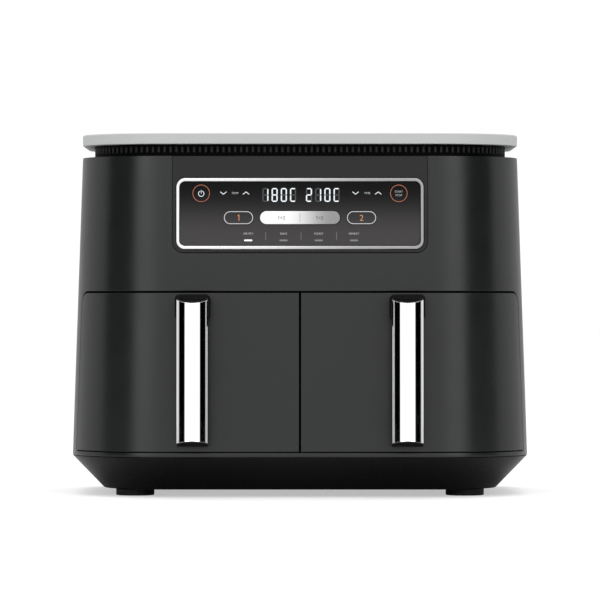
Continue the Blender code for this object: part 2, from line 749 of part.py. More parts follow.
def make_keys():
    """Each key has its origin on its own axis, at the middle of its face."""
    finishes = {"power_key": COPPER, "start_key": COPPER}
    for name, (centre, outline) in key_outlines().items():
        moved = [(x - centre[0], z - centre[1]) for x, z in outline]
        face = [(x * 0.97, z * 0.94) for x, z in moved]
        loops = [[Vector((x, 0.0, z)) for x, z in face]]
        loops += [[Vector((x, y, z)) for x, z in moved] for y in (0.0004, KEY_DEPTH)]
        mesh = mesh_from(loft(loops), name, 50)
        obj = add_object(name, mesh, finishes.get(name, SILVER), FRONT_PLANE)
        obj.location = (centre[0], 0.0, centre[1])


def make_boards():
    """The control board behind the lens, the display on it and the power board at the rear."""
    outline = centred(BEZEL_WIDTH, BEZEL_HEIGHT, 0.0, BOARD_MARGIN, 1)
    bm = plate(outline, [], BOARD_FRONT, BOARD_FRONT + BOARD_THICKNESS, upright)
    add_object("control_board", mesh_from(bm, "control_board"), BOARD_GREEN, FRONT_PLANE)
    high = PANEL_MIDDLE + KEY_ABOVE_MIDDLE
    low = (-DISPLAY_WIDTH / 2, LENS_BACK + GAP, high + DISPLAY_RISE[0])
    top = (DISPLAY_WIDTH / 2, BOARD_FRONT - GAP, high + DISPLAY_RISE[1])
    add_object("display_module", mesh_from(box(low, top), "display_module"), DISPLAY_WHITE, FRONT_PLANE)
    rear = Y_REAR - lean_at(Z_RIM) - WALL - POWER_BOARD_SETBACK
    front = rear - BOARD_THICKNESS
    base = Z_LINER_TOP + POWER_BOARD_RISE
    half = POWER_BOARD[0] / 2
    card = box((-half, front, base), (half, rear, base + POWER_BOARD[1]))
    obj = add_object("power_board", mesh_from(card, "power_board"), BOARD_GREEN)
    for number, (x, width, rise, tall) in enumerate(POWER_PARTS, 1):
        foot = (x - width / 2, front - WALL * 6, base + rise)
        head = (x + width / 2, front + BOARD_THICKNESS / 2, base + rise + tall)
        boolean(obj, cutter(box(foot, head), f"power_part_{number}"), "UNION")


# ---- cooking zones ------------------------------------------------------------------------------


def side_box(sign, low, high):
    """A box given for the right side, mirrored to the left where the sign says so."""
    xs = sorted((sign * low[0], sign * high[0]))
    return box((xs[0], low[1], low[2]), (xs[1], high[1], high[2]))


def make_liner(side, sign):
    """A folded sheet box, open to the front, with the heating chamber's hole in its top."""
    low = (LINER_INNER_X, LINER_FRONT, Z_LINER)
    high = (LINER_OUTER_X, LINER_REAR, Z_LINER_TOP)
    name = f"cavity_liner_{side}"
    obj = add_object(name, mesh_from(side_box(sign, low, high), name), LINER_STEEL)
    inner_low = (low[0] + SHEET, low[1] - WALL, low[2] + SHEET)
    inner_high = (high[0] - SHEET, high[1] - SHEET, high[2] - SHEET)
    boolean(obj, cutter(side_box(sign, inner_low, inner_high), f"{name}_inside"))
    holes = {
        f"{name}_head_hole": circle((sign * ZONE_X, HEAD_Y), REFLECTOR_RADIUS),
        f"{name}_probe_hole": circle(sensor_place(sign), SENSOR_RADIUS + GAP, 12),
    }
    for hole, outline in holes.items():
        boolean(obj, cutter(plate(outline, [], Z_LINER_TOP - WALL, Z_LINER_TOP + WALL), hole))


def sensor_place(sign):
    reach = REFLECTOR_RADIUS * SENSOR_REACH
    return (sign * (ZONE_X + reach), HEAD_Y + reach)


def make_reflector(side, sign):
    """A pressed dish over the liner's hole, with holes for the shaft and the heater's two ends."""
    r, h = REFLECTOR_RADIUS - SHAFT_CLEAR * 2, REFLECTOR_HEIGHT
    bore = SHAFT_RADIUS + SHAFT_CLEAR * 2
    bend = REFLECTOR_BEND
    profile = [
        (bore, h),
        (bore, h - SHEET),
        (r - bend - SHEET, h - SHEET),
        (r - SHEET, h - SHEET - bend),
        (r - SHEET, 0),
        (r + REFLECTOR_FLANGE, 0),
        (r + REFLECTOR_FLANGE, SHEET),
        (r, SHEET),
        (r, h - bend),
        (r - bend, h),
    ]
    name = f"reflector_{side}"
    obj = add_object(name, mesh_from(turned(profile), name, 40), LINER_STEEL)
    obj.location = (sign * ZONE_X, HEAD_Y, Z_REFLECTOR)
    for number, angle in enumerate(HEATER_ENDS, 1):
        place = (HEATER_RADIUS * math.cos(angle), HEATER_RADIUS * math.sin(angle))
        hole = plate(circle(place, HEATER_ROD + GAP, 10), [], h - 2 * SHEET, h + SHEET)
        boolean(obj, cutter(hole, f"{name}_rod_hole_{number}", obj))


def make_heater(side, sign):
    """One turn of rod whose two ends rise through the reflector."""
    start, end = HEATER_ENDS
    turn = end - start
    steps = 26
    low = -HEATER_DROP
    high = REFLECTOR_HEIGHT + HEATER_DROP
    bend = HEATER_DROP
    points = []
    for angle, order in ((start, 1), (end, -1)):
        run = [(angle, high), (angle, low + bend)]
        swing = [(angle + order * bend / HEATER_RADIUS * 0.4, low + bend * 0.3)]
        points.append(run + swing)
    route = points[0]
    margin = bend / HEATER_RADIUS
    route += [(start + margin + (turn - 2 * margin) * i / steps, low) for i in range(steps + 1)]
    route += points[1][::-1]
    name = f"heater_{side}"
    curve = bpy.data.curves.new(name, "CURVE")
    curve.dimensions = "3D"
    curve.bevel_depth = HEATER_ROD
    curve.bevel_resolution = 1
    curve.use_fill_caps = True
    spline = curve.splines.new("POLY")
    spline.points.add(len(route) - 1)
    for point, (angle, z) in zip(spline.points, route):
        point.co = (HEATER_RADIUS * math.cos(angle), HEATER_RADIUS * math.sin(angle), z, 1)
    obj = add_object(name, curve)
    curve.materials.append(material(name, HEATER_STEEL))
    obj.location = (sign * ZONE_X, HEAD_Y, Z_REFLECTOR)


def make_grille(side, sign):
    """A flat guard under the heater: three rings joined by four arms."""
    middle = (GRILLE_HUB + GRILLE_RADIUS) / 2
    rings = ((GRILLE_HUB, middle - GRILLE_BAR), (middle, GRILLE_RADIUS - GRILLE_BAR))
    holes = []
    for inner, outer in rings:
        for quarter in range(4):
            trim = math.degrees(GRILLE_BAR / 2 / inner)
            start = quarter * 90 + trim
            end = quarter * 90 + 90 - trim
            holes.append(arc((0, 0), outer, start, end, 6) + arc((0, 0), inner, end, start, 3))
    bm = plate(circle((0, 0), GRILLE_RADIUS, 28), holes, 0.0, SHEET)
    name = f"guard_grille_{side}"
    obj = add_object(name, mesh_from(bm, name), LINER_STEEL)
    obj.location = (sign * ZONE_X, HEAD_Y, Z_REFLECTOR - GRILLE_BELOW_HEAD)


def make_motor(side, sign, parent):
    """The fixed can of the motor, on the reflector, with a bore for the shaft."""
    bore = SHAFT_RADIUS + SHAFT_CLEAR
    profile = [
        (bore, 0),
        (MOTOR_RADIUS + MOTOR_FLANGE, 0),
        (MOTOR_RADIUS + MOTOR_FLANGE, BASKET_WALL),
        (MOTOR_RADIUS, BASKET_WALL),
        (MOTOR_RADIUS, MOTOR_HEIGHT - MOTOR_FLANGE),
        (MOTOR_RADIUS - MOTOR_FLANGE, MOTOR_HEIGHT),
        (bore, MOTOR_HEIGHT),
    ]
    name = f"motor_{side}"
    obj = add_object(name, mesh_from(turned(profile, 20), name, 40), MOTOR_STEEL, parent)
    obj.location = (0, 0, Z_MOTOR)


def blade(radius, hub, height, sweep, number):
    """One upright blade, from inside the hub's wall to just inside the disc's edge."""
    half = SHEET / 3
    start, end = hub - SHEET, radius - SHEET
    corners = [(start, -half), (end, sweep - half), (end, sweep + half), (start, half)]
    turn = Matrix.Rotation(2 * math.pi * number / FAN_BLADES, 4, "Z")
    levels = (SHEET / 2, height - SHEET / 2)
    return loft([[turn @ Vector((x, y, z)) for x, y in corners] for z in levels])


def make_fan(name, parent, radius, size, finish, z):
    """A thin disc with a hub, and the blades that stand on it."""
    hub, height, sweep = size
    bore = SHAFT_RADIUS + GAP
    profile = [(bore, 0), (radius, 0), (radius, SHEET), (hub, SHEET), (hub, height), (bore, height)]
    obj = add_object(name, mesh_from(turned(profile), name, 40), finish, parent)
    obj.location = (0, 0, z)
    for number in range(FAN_BLADES):
        tool = cutter(blade(radius, hub, height, sweep, number), f"{name}_blade_{number + 1}", obj)
        boolean(obj, tool, "UNION")


def make_rotor(side, spindle):
    """The shaft with the hot fan under the reflector and the cooling fan over the motor."""
    fan_gap = SHAFT_RADIUS
    cooling_z = Z_MOTOR + MOTOR_HEIGHT + fan_gap
    low = Z_REFLECTOR - fan_gap
    high = cooling_z + COOLING_FAN[1] + fan_gap
    name = f"fan_shaft_{side}"
    profile = [(0, low), (SHAFT_RADIUS, low), (SHAFT_RADIUS, high), (0, high)]
    add_object(name, mesh_from(turned(profile, 12), name, 40), MOTOR_STEEL, spindle)
    hot_radius = HEATER_RADIUS - FAN_CLEAR
    make_fan(f"hot_fan_{side}", spindle, hot_radius, HOT_FAN, LINER_STEEL, Z_REFLECTOR + SHEET)
    make_fan(f"cooling_fan_{side}", spindle, COOLING_FAN_RADIUS, COOLING_FAN, TRIM_BLACK, cooling_z)


def make_sensor(side, sign):
    """A probe through the liner's top, held by its flange."""
    x, y = sensor_place(sign)
    r = SENSOR_RADIUS
    probe = [(0, -r * 5), (r, -r * 4), (r, 0)]
    flange = [(r * 2, 0), (r * 2, SHEET), (r, SHEET)]
    profile = [*probe, *flange, (r, r * 2), (0, r * 2)]
    name = f"temp_sensor_{side}"
    obj = add_object(name, mesh_from(turned(profile, 12), name, 40), MOTOR_STEEL)
    obj.location = (x, y, Z_LINER_TOP + GAP)


def make_switch(side, sign):
    """The safety switch behind the surround, over the liner, with its plunger's nose forward."""
    size = MOTOR_FLANGE * 2
    y = LINER_FRONT + BASKET_WALL
    z = Z_LINER_TOP + GAP
    low = (LINER_OUTER_X - size * 3, y, z)
    high = (LINER_OUTER_X - size, y + size, z + size)
    name = f"drawer_switch_{side}"
    add_object(name, mesh_from(side_box(sign, low, high), name), TRIM_BLACK)


# ---- drawers ------------------------------------------------------------------------------------


def half_outline(sign, z, inset, rear):
    """Plan of one drawer front: from the centre seam along the front, round the corner, to the rear."""
    pull = lean_at(z) + inset
    edge = BODY_WIDTH / 2 - pull
    front = Y_FRONT + pull
    radius = FRONT_RADIUS - pull
    seam = CENTRE_SEAM / 2 + inset
    middle = front + radius
    end = math.degrees(math.asin(min((rear - middle) / radius, 0.0)))
    points = [(seam, rear), (seam, front)]
    points += arc((edge - radius, middle), radius, -90, end, CORNER_STEPS)
    if rear > middle:
        points.append((edge, rear))
    return [Vector((sign * x, y, z)) for x, y in points]


def make_drawer_front(side, sign):
    """A cup that follows the body, one wall thick, open to the rear and above the basket."""
    name = f"drawer_front_{side}"
    low, high = Z_DRAWER, Z_DRAWER_TOP
    bm = loft([half_outline(sign, z, 0.0, Y_PARTING) for z in (low, high)])
    obj = add_object(name, mesh_from(bm, name, 30), GRAPHITE, DRAWERS[side])
    levels = (low + WALL, high - WALL)
    inside = loft([half_outline(sign, z, WALL, Y_PARTING + WALL) for z in levels])
    boolean(obj, cutter(inside, f"{name}_inside", DRAWERS[side]))
    envelope = drawer_envelope(low - WALL, high, Y_PARTING, f"{name}_envelope")
    boolean(obj, envelope, "INTERSECT")
    mouth = basket_outline(sign, -GAP)
    over = loft([at_height(mouth, z) for z in (high - 2 * WALL, high + WALL)])
    boolean(obj, cutter(over, f"{name}_opening", DRAWERS[side]))
    hole = aimed(turned(hole_profile(SCREW_RADIUS + KEY_GAP, -WALL, 2 * WALL), 12), (0, 1, 0))
    tool = cutter(hole, f"{name}_screw_hole", FRONT_PLANE)
    tool.location = handle_screw_place(sign)
    boolean(obj, tool)


def hole_profile(radius, low, high):
    return [(0, low), (radius, low), (radius, high), (0, high)]


def handle_screw_place(sign):
    """On the front plane, at the middle of the handle's neck."""
    return (sign * HANDLE_X, 0.0, NECK_BLOCK_TOP - NECK_BLOCK_HEIGHT / 2)


def make_inner_frame(side, sign):
    """Closes the drawer front beside and below the basket, and holds the basket."""
    name = f"drawer_frame_{side}"
    rear = Y_PARTING - FRAME_SETBACK
    front = rear - FRAME_THICKNESS
    inner = CENTRE_SEAM / 2 + WALL + GAP
    low, high = Z_DRAWER + WALL + GAP, Z_DRAWER_TOP - WALL - GAP
    # The frame sits ahead of the arc's end, so its outer edge follows the corner in plan.
    middle = Y_FRONT + FRONT_RADIUS
    outline = []
    for z in (low, high):
        edge = BODY_WIDTH / 2 - FRONT_RADIUS
        radius = FRONT_RADIUS - lean_at(z) - WALL - GAP
        reach = [edge + math.sqrt(radius**2 - (middle - y) ** 2) for y in (front, rear)]
        outline.append([(inner, front), (reach[0], front), (reach[1], rear), (inner, rear)])
    loops = [[Vector((sign * x, y, z)) for x, y in loop] for loop, z in zip(outline, (low, high))]
    obj = add_object(name, mesh_from(loft(loops), name), TRIM_BLACK, DRAWERS[side])
    half = BASKET_HALF_WIDTH + GAP
    mouth_low = (ZONE_X - half, front - WALL, Z_BASKET - GAP)
    mouth_high = (ZONE_X + half, rear + WALL, Z_DRAWER_TOP)
    boolean(obj, cutter(side_box(sign, mouth_low, mouth_high), f"{name}_mouth", DRAWERS[side]))


def basket_outline(sign, inset):
    half = BASKET_HALF_WIDTH - inset
    low = (sign * ZONE_X - half, BASKET_FRONT + inset)
    high = (sign * ZONE_X + half, BASKET_REAR - inset)
    return rounded(low, high, (BASKET_RADIUS - inset,) * 4, 5)


def make_basket(side, sign):
    """A deep drawn pan: the same outline at every level, with a rounded floor edge."""
    wall = BASKET_WALL
    outer = BASKET_FLOOR_RADIUS
    inner = outer - wall
    ease = 1 - math.sqrt(0.5)
    outside = ((outer, 0.0), (outer * ease, outer * ease), (0.0, outer))
    inside = ((wall, outer), (wall + inner * ease, wall + inner * ease), (outer, wall))
    loops = [at_height(basket_outline(sign, inset), Z_BASKET + rise) for inset, rise in outside]
    loops += [at_height(basket_outline(sign, inset), Z_BASKET_TOP) for inset in (0.0, wall)]
    loops += [at_height(basket_outline(sign, inset), Z_BASKET + rise) for inset, rise in inside]
    name = f"basket_{side}"
    add_object(name, mesh_from(loft(loops), name, 40), NONSTICK, DRAWERS[side])


def make_crisper_plate(side, sign, parent):
    """A slotted tray plate on four legs, just inside the basket."""
    inset = BASKET_WALL + PLATE_GAP
    outline = basket_outline(sign, inset)
    centre = (sign * ZONE_X, ZONE_Y)
    outline = [(x - centre[0], y - centre[1]) for x, y in outline]
    holes = [circle((0, 0), PLATE_HOLE_RADIUS, 12)]
    for ring, (reach, length) in enumerate(PLATE_RINGS):
        for i in range(PLATE_SLOTS):
            angle = 2 * math.pi * (i + ring / 2) / PLATE_SLOTS
            along = Vector((math.cos(angle), math.sin(angle)))
            across = Vector((-along.y, along.x)) * PLATE_SLOT_WIDTH / 2
            near, far = along * (reach - length / 2), along * (reach + length / 2)
            corners = (near - across, far - across, far + across, near + across)
            holes.append([tuple(corner) for corner in corners])
    name = f"crisper_plate_{side}"
    bm = plate(outline, holes, 0.0, PLATE_THICKNESS)
    obj = add_object(name, mesh_from(bm, name), NONSTICK, parent)
    leg_x = BASKET_HALF_WIDTH - inset - LEG_INSET
    leg_y = (BASKET_REAR - BASKET_FRONT) / 2 - inset - LEG_INSET
    legs = ((-1, -1), (1, -1), (1, 1), (-1, 1))
    for number, (a, b) in enumerate(legs, 1):
        leg = turned(hole_profile(LEG_RADIUS, -PLATE_LIFT + GAP, PLATE_THICKNESS / 2), 10)
        tool = cutter(leg, f"{name}_leg_{number}", obj)
        tool.location = (a * leg_x, b * leg_y, 0)
        boolean(obj, tool, "UNION")


def bar_level(sign, points, base, slope):
    """A horizontal slice of the handle whose height follows how far back each point lies."""
    x0 = sign * HANDLE_X
    return [Vector((x0 + x, y, base + slope * (y + HANDLE_REACH))) for x, y in points]


def front_arc(inset, steps=8):
    """The bar's convex front, from left to right, pulled in by the inset."""
    half = HANDLE_WIDTH / 2 - inset
    bulge = HANDLE_BULGE
    radius = ((HANDLE_WIDTH / 2) ** 2 + bulge**2) / (2 * bulge)
    centre_y = -HANDLE_REACH + radius
    reach = radius - inset
    angle = math.degrees(math.asin(half / reach))
    return arc((0, centre_y), reach, 270 - angle, 270 + angle, steps)


def make_handle_cover(side, sign):
    """The bright skin over the front of the bar."""
    outer = front_arc(0.0)
    inner = front_arc(COVER_WALL)
    rear = -HANDLE_REACH + COVER_WRAP
    half = HANDLE_WIDTH / 2
    section = [(-half, rear), *outer, (half, rear)]
    section += [(half - COVER_WALL, rear), *inner[::-1], (-half + COVER_WALL, rear)]
    loops = [
        bar_level(sign, section, HANDLE_FOOT, -HANDLE_LOWER_SLOPE),
        bar_level(sign, section, HANDLE_TOP, HANDLE_UPPER_SLOPE),
    ]
    name = f"handle_cover_{side}"
    place = DRAWER_FACES[side]
    add_object(name, mesh_from(loft(loops), name, 30), CHROME, place)


def make_handle_core(side, sign):
    """The black bar under the cover and the neck that joins its upper end to the drawer front."""
    skin = COVER_WALL + GAP
    step = -HANDLE_REACH + COVER_WRAP + GAP
    half = HANDLE_WIDTH / 2
    rear = -HANDLE_REACH + HANDLE_THICKNESS
    radius = HANDLE_BACK_RADIUS
    turns = [math.radians(angle) for angle in range(0, 181, 30)]
    back = [(half * math.cos(turn), rear - radius + radius * math.sin(turn)) for turn in turns]
    front = [(-half + skin, step), *front_arc(skin), (half - skin, step)]
    section = [(-half, step), *front, (half, step), *back]
    loops = [
        bar_level(sign, section, HANDLE_FOOT, -HANDLE_LOWER_SLOPE),
        bar_level(sign, section, HANDLE_TOP, HANDLE_UPPER_SLOPE),
    ]
    name = f"handle_core_{side}"
    place = DRAWER_FACES[side]
    obj = add_object(name, mesh_from(loft(loops), name, 30), TRIM_BLACK, place)
    x = sign * HANDLE_X
    low = (x - NECK_BLOCK_WIDTH / 2, NECK_BLOCK_TOP - NECK_BLOCK_HEIGHT)
    high = (x + NECK_BLOCK_WIDTH / 2, NECK_BLOCK_TOP)
    block = plate(rounded(low, high, (WALL,) * 4, 2), [], rear - NECK_BLOCK_DEPTH, -GAP, upright)
    boolean(obj, cutter(block, f"{name}_neck", place), "UNION")
    hole = aimed(turned(hole_profile(SCREW_RADIUS + GAP, -HANDLE_SCREW_REACH - GAP, WALL), 12), (0, 1, 0))
    tool = cutter(hole, f"{name}_screw_hole", place)
    tool.location = handle_screw_place(sign)
    boolean(obj, tool)


def make_handle_screw(side, sign):
    """From inside the drawer front, through its wall, into the neck."""
    bm = aimed(screw(HANDLE_SCREW_REACH + WALL + 2 * GAP), (0, 1, 0))
    name = f"handle_screw_{side}"
    obj = add_object(name, mesh_from(bm, name, 40), SCREW_STEEL, DRAWER_FACES[side])
    x, _, z = handle_screw_place(sign)
    obj.location = (x, WALL + GAP * 2, z)


# ---- assembly -----------------------------------------------------------------------------------

clear_scene()
FRONT_PLANE = empty("front_plane", (0, Y_FRONT, Z_HOUSING), (-LEAN, 0, 0))
REAR_PLANE = empty("rear_plane", (0, Y_REAR, Z_HOUSING), (LEAN, 0, 0))
DRAWERS = {side: empty(f"drawer_{side}_origin") for side, _ in SIDES}
DRAWER_FACES = {
    side: empty(f"drawer_{side}_face", (0, Y_FRONT, Z_HOUSING), (-LEAN, 0, 0), parent)
    for side, parent in DRAWERS.items()
}


def main():
    make_lid()
    make_vent_neck()
    make_top_deck()
    make_housing()
    make_rear_cover()
    make_rear_screws()
    make_gland()
    make_base_tray()
    make_feet()
    make_front_surround()
    make_fascia()
    make_bezel()
    make_lens()
    make_keys()
    make_boards()
    for side, sign in SIDES:
        spindle = empty(f"spindle_{side}", (sign * ZONE_X, HEAD_Y, 0))
        lift = empty(f"crisper_{side}_lift", (sign * ZONE_X, ZONE_Y, Z_PLATE), parent=DRAWERS[side])
        make_liner(side, sign)
        make_reflector(side, sign)
        make_heater(side, sign)
        make_grille(side, sign)
        make_motor(side, sign, spindle)
        make_rotor(side, spindle)
        make_sensor(side, sign)
        make_switch(side, sign)
        make_drawer_front(side, sign)
        make_inner_frame(side, sign)
        make_basket(side, sign)
        make_crisper_plate(side, sign, lift)
        make_handle_cover(side, sign)
        make_handle_core(side, sign)
        make_handle_screw(side, sign)


main()
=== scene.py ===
"""Looks of a dual-drawer air fryer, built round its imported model.

Metres, +Z up, the front faces -Y. Left and right are as seen from the front.
"""

import logging
import math
from collections.abc import Callable, Iterator
from dataclasses import dataclass
from enum import Enum

import bmesh
import bpy
from mathutils import Matrix, Vector

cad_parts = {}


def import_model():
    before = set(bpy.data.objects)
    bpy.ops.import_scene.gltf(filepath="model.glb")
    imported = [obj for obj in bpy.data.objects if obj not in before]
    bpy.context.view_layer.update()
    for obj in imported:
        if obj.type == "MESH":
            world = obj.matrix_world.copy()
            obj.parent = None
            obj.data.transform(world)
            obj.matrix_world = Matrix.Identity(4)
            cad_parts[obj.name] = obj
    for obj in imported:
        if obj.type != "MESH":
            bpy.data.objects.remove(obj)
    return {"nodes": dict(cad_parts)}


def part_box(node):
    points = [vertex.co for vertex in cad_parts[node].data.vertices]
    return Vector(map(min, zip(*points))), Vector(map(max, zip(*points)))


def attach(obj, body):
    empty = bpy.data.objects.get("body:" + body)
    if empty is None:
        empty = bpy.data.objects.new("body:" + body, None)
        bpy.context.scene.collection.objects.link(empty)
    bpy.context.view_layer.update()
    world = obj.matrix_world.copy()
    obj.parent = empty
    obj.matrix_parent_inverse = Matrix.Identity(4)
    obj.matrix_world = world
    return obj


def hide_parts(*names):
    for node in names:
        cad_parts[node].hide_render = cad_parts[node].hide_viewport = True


log = logging.getLogger("air_fryer")

SIDES = (("left", -1), ("right", 1))
CORNERS = ((-1, -1), (-1, 1), (1, -1), (1, 1))
ARC_STEPS = 28  # segments round a large corner
SMALL_STEPS = 8  # segments round a small corner
TOUCH = 1e-5  # how near a point must be to count as on a plane
DOUBLES = 1e-6  # how near two points must be to become one
THROUGH = 0.01  # how far a cutting tool reaches past what it cuts
PILL_END = 0.998  # share of a pill's half height that its ends are rounded by


class Slot(Enum):
    """The record's material slots."""

    SHELL = "graphite_shell"
    FASCIA = "fascia"
    BASE = "base_black"
    TRIM = "black_trim"
    LID = "lid_grey"
    CHROME = "chrome"
    SILVER = "silver_key"
    COPPER = "copper_key"
    LENS = "lens"
    DISPLAY = "display"
    BOARD = "circuit_board"
    STEEL = "liner_steel"
    NONSTICK = "nonstick"
    HEATER = "heater_steel"
    MOTOR = "motor_steel"
    RUBBER = "rubber"
    SCREW = "screw_steel"


class Pick(Enum):
    """What an edit-mode selection is made of."""

    VERTS = "verts"
    EDGES = "edges"
    FACES = "faces"


# ---- finishes -----------------------------------------------------------------------------------


def linear(channel: float) -> float:
    """Turns one 0-255 display channel into a linear value."""
    value = channel / 255
    return value / 12.92 if value <= 0.04045 else ((value + 0.055) / 1.055) ** 2.4


def tone(red: float, green: float, blue: float) -> tuple[float, float, float, float]:
    """A linear colour from three 0-255 display channels."""
    return (linear(red), linear(green), linear(blue), 1.0)


class NodeBoard:
    """A small builder for one material's nodes."""

    def __init__(self, name: str) -> None:
        """Starts a material with only its Principled shader.

        Args:
            name: the material's name.
        """
        self.material = bpy.data.materials.new(name)
        self.material.use_nodes = True
        self.tree = self.material.node_tree
        self.shader = self.tree.nodes["Principled BSDF"]

    def add(self, kind: str, **settings: object) -> bpy.types.Node:
        """Adds a node and sets its plain properties.

        Args:
            kind: the node's type.
            settings: its properties and their values.

        Returns:
            The new node.
        """
        node = self.tree.nodes.new(kind)
        for key, value in settings.items():
            setattr(node, key, value)
        return node

    def link(self, source: bpy.types.NodeSocket, target: bpy.types.NodeSocket) -> None:
        """Joins two sockets."""
        self.tree.links.new(source, target)

    def place(self, stretch: tuple[float, float, float] = (1, 1, 1)) -> bpy.types.NodeSocket:
        """Object coordinates, stretched along each axis.

        Args:
            stretch: how closely the pattern is packed along X, Y and Z.

        Returns:
            The coordinates' socket.
        """
        coordinates = self.add("ShaderNodeTexCoord")
        mapping = self.add("ShaderNodeMapping")
        mapping.inputs["Scale"].default_value = stretch
        self.link(coordinates.outputs["Object"], mapping.inputs["Vector"])
        return mapping.outputs["Vector"]

    def noise(
        self, scale: float, detail: float = 2.0, stretch: tuple[float, float, float] = (1, 1, 1)
    ) -> bpy.types.NodeSocket:
        """A noise field in object space; scale is in cells per metre.

        Args:
            scale: cells per metre.
            detail: how many finer layers lie on top.
            stretch: how closely the cells are packed along X, Y and Z.

        Returns:
            The field's socket, about 0 to 1.
        """
        node = self.add("ShaderNodeTexNoise")
        node.inputs["Scale"].default_value = scale
        node.inputs["Detail"].default_value = detail
        self.link(self.place(stretch), node.inputs["Vector"])
        return node.outputs["Fac"]

    def spread(self, source: bpy.types.NodeSocket, low: float, high: float) -> bpy.types.NodeSocket:
        """Maps the busy middle of a noise field to a range.

        Args:
            source: the noise field.
            low: the range's start.
            high: the range's end.

        Returns:
            The mapped field's socket.
        """
        node = self.add("ShaderNodeMapRange")
        node.inputs["From Min"].default_value = 0.3
        node.inputs["From Max"].default_value = 0.7
        node.inputs["To Min"].default_value = low
        node.inputs["To Max"].default_value = high
        self.link(source, node.inputs["Value"])
        return node.outputs["Result"]

    def blend(self, factor: bpy.types.NodeSocket, first: tuple, second: tuple) -> bpy.types.NodeSocket:
        """Mixes two colours by a field.

        Args:
            factor: the field, 0 for the first colour and 1 for the second.
            first: a linear colour.
            second: a linear colour.

        Returns:
            The mixed colour's socket.
        """
        node = self.add("ShaderNodeMix", data_type="RGBA")
        colour_inputs = [s for s in node.inputs if s.type == "RGBA"]
        colour_inputs[0].default_value = first
        colour_inputs[1].default_value = second
        self.link(factor, node.inputs["Factor"])
        return next(s for s in node.outputs if s.type == "RGBA")

    def bump(self, source: bpy.types.NodeSocket, height: float, strength: float = 1.0) -> None:
        """Raises the surface by a field; height is in metres.

        Args:
            source: the field that raises the surface.
            height: the rise in metres.
            strength: how much of it shows.
        """
        node = self.add("ShaderNodeBump")
        node.inputs["Strength"].default_value = strength
        node.inputs["Distance"].default_value = height
        self.link(source, node.inputs["Height"])
        self.link(node.outputs["Normal"], self.shader.inputs["Normal"])


SHELL_TONE = tone(19, 22, 21)
SHELL_ROUGHNESS = 0.25


def shade(colour: tuple, factor: float) -> tuple[float, float, float, float]:
    """A colour made lighter or darker."""
    return (*(c * factor for c in colour[:3]), 1.0)


@dataclass(frozen=True)
class MouldedPlastic:
    """Moulded plastic: fine grain, slow drift in tone, uneven sheen."""

    name: str
    colour: tuple
    roughness: float = 0.36
    specular: float = 0.5
    grain: float = 0.000012
    drift: float = 0.06
    unevenness: float = 0.025

    def material(self) -> bpy.types.Material:
        """Builds the finish.

        Returns:
            The material.
        """
        board = NodeBoard(self.name)
        shader = board.shader
        shader.inputs["Specular IOR Level"].default_value = self.specular
        low, high = shade(self.colour, 1 - self.drift), shade(self.colour, 1 + self.drift)
        board.link(board.blend(board.noise(scale=14, detail=3), low, high), shader.inputs["Base Color"])
        smears = board.noise(scale=38, detail=4)
        sheen = board.spread(smears, self.roughness - self.unevenness, self.roughness + self.unevenness)
        board.link(sheen, shader.inputs["Roughness"])
        board.bump(board.noise(scale=2600, detail=2), self.grain, strength=0.6)
        return board.material


@dataclass(frozen=True)
class Metal:
    """Plated or plain metal with faint smudges and, if brushed, a directional grain."""

    name: str
    colour: tuple
    roughness: float
    brushed: tuple[float, float, float] | None = None
    stain: float = 0.04
    smudging: float = 0.25

    def material(self) -> bpy.types.Material:
        """Builds the finish.

        Returns:
            The material.
        """
        board = NodeBoard(self.name)
        shader = board.shader
        shader.inputs["Metallic"].default_value = 1.0
        low, high = shade(self.colour, 1 - self.stain), shade(self.colour, 1 + self.stain)
        board.link(board.blend(board.noise(scale=30, detail=3), low, high), shader.inputs["Base Color"])
        spread = self.roughness * self.smudging
        smears = board.noise(scale=60, detail=4)
        smudge = board.spread(smears, self.roughness - spread, self.roughness + spread)
        board.link(smudge, shader.inputs["Roughness"])
        if self.brushed:
            grain = board.noise(scale=900, detail=2, stretch=self.brushed)
            board.bump(grain, height=0.000015, strength=0.35)
        return board.material


@dataclass(frozen=True)
class GlossWithPaintedReflection:
    """Gloss with a painted reflection: its colour runs from one tone to another along an axis."""

    name: str
    low_tone: tuple
    high_tone: tuple
    start: float
    end: float
    specular: float = 0.12
    metallic: float = 0.0
    roughness: float = 0.05
    axis: str = "Z"
    film: tuple[float, float] = (0.8, 1.3)

    def material(self) -> bpy.types.Material:
        """Builds the finish.

        Returns:
            The material.
        """
        board = NodeBoard(self.name)
        shader = board.shader
        shader.inputs["Specular IOR Level"].default_value = self.specular
        shader.inputs["Metallic"].default_value = self.metallic
        split = board.add("ShaderNodeSeparateXYZ")
        board.link(board.place(), split.inputs["Vector"])
        ramp = board.add("ShaderNodeMapRange", interpolation_type="SMOOTHERSTEP")
        ramp.inputs["From Min"].default_value = self.start
        ramp.inputs["From Max"].default_value = self.end
        board.link(split.outputs[self.axis], ramp.inputs["Value"])
        # painted reflection: the base colour runs from low_tone to high_tone along the axis
        tint = board.blend(ramp.outputs["Result"], self.low_tone, self.high_tone)
        board.link(tint, shader.inputs["Base Color"])
        wiped, dull = self.film
        film = board.spread(board.noise(scale=45, detail=3), self.roughness * wiped, self.roughness * dull)
        board.link(film, shader.inputs["Roughness"])
        return board.material


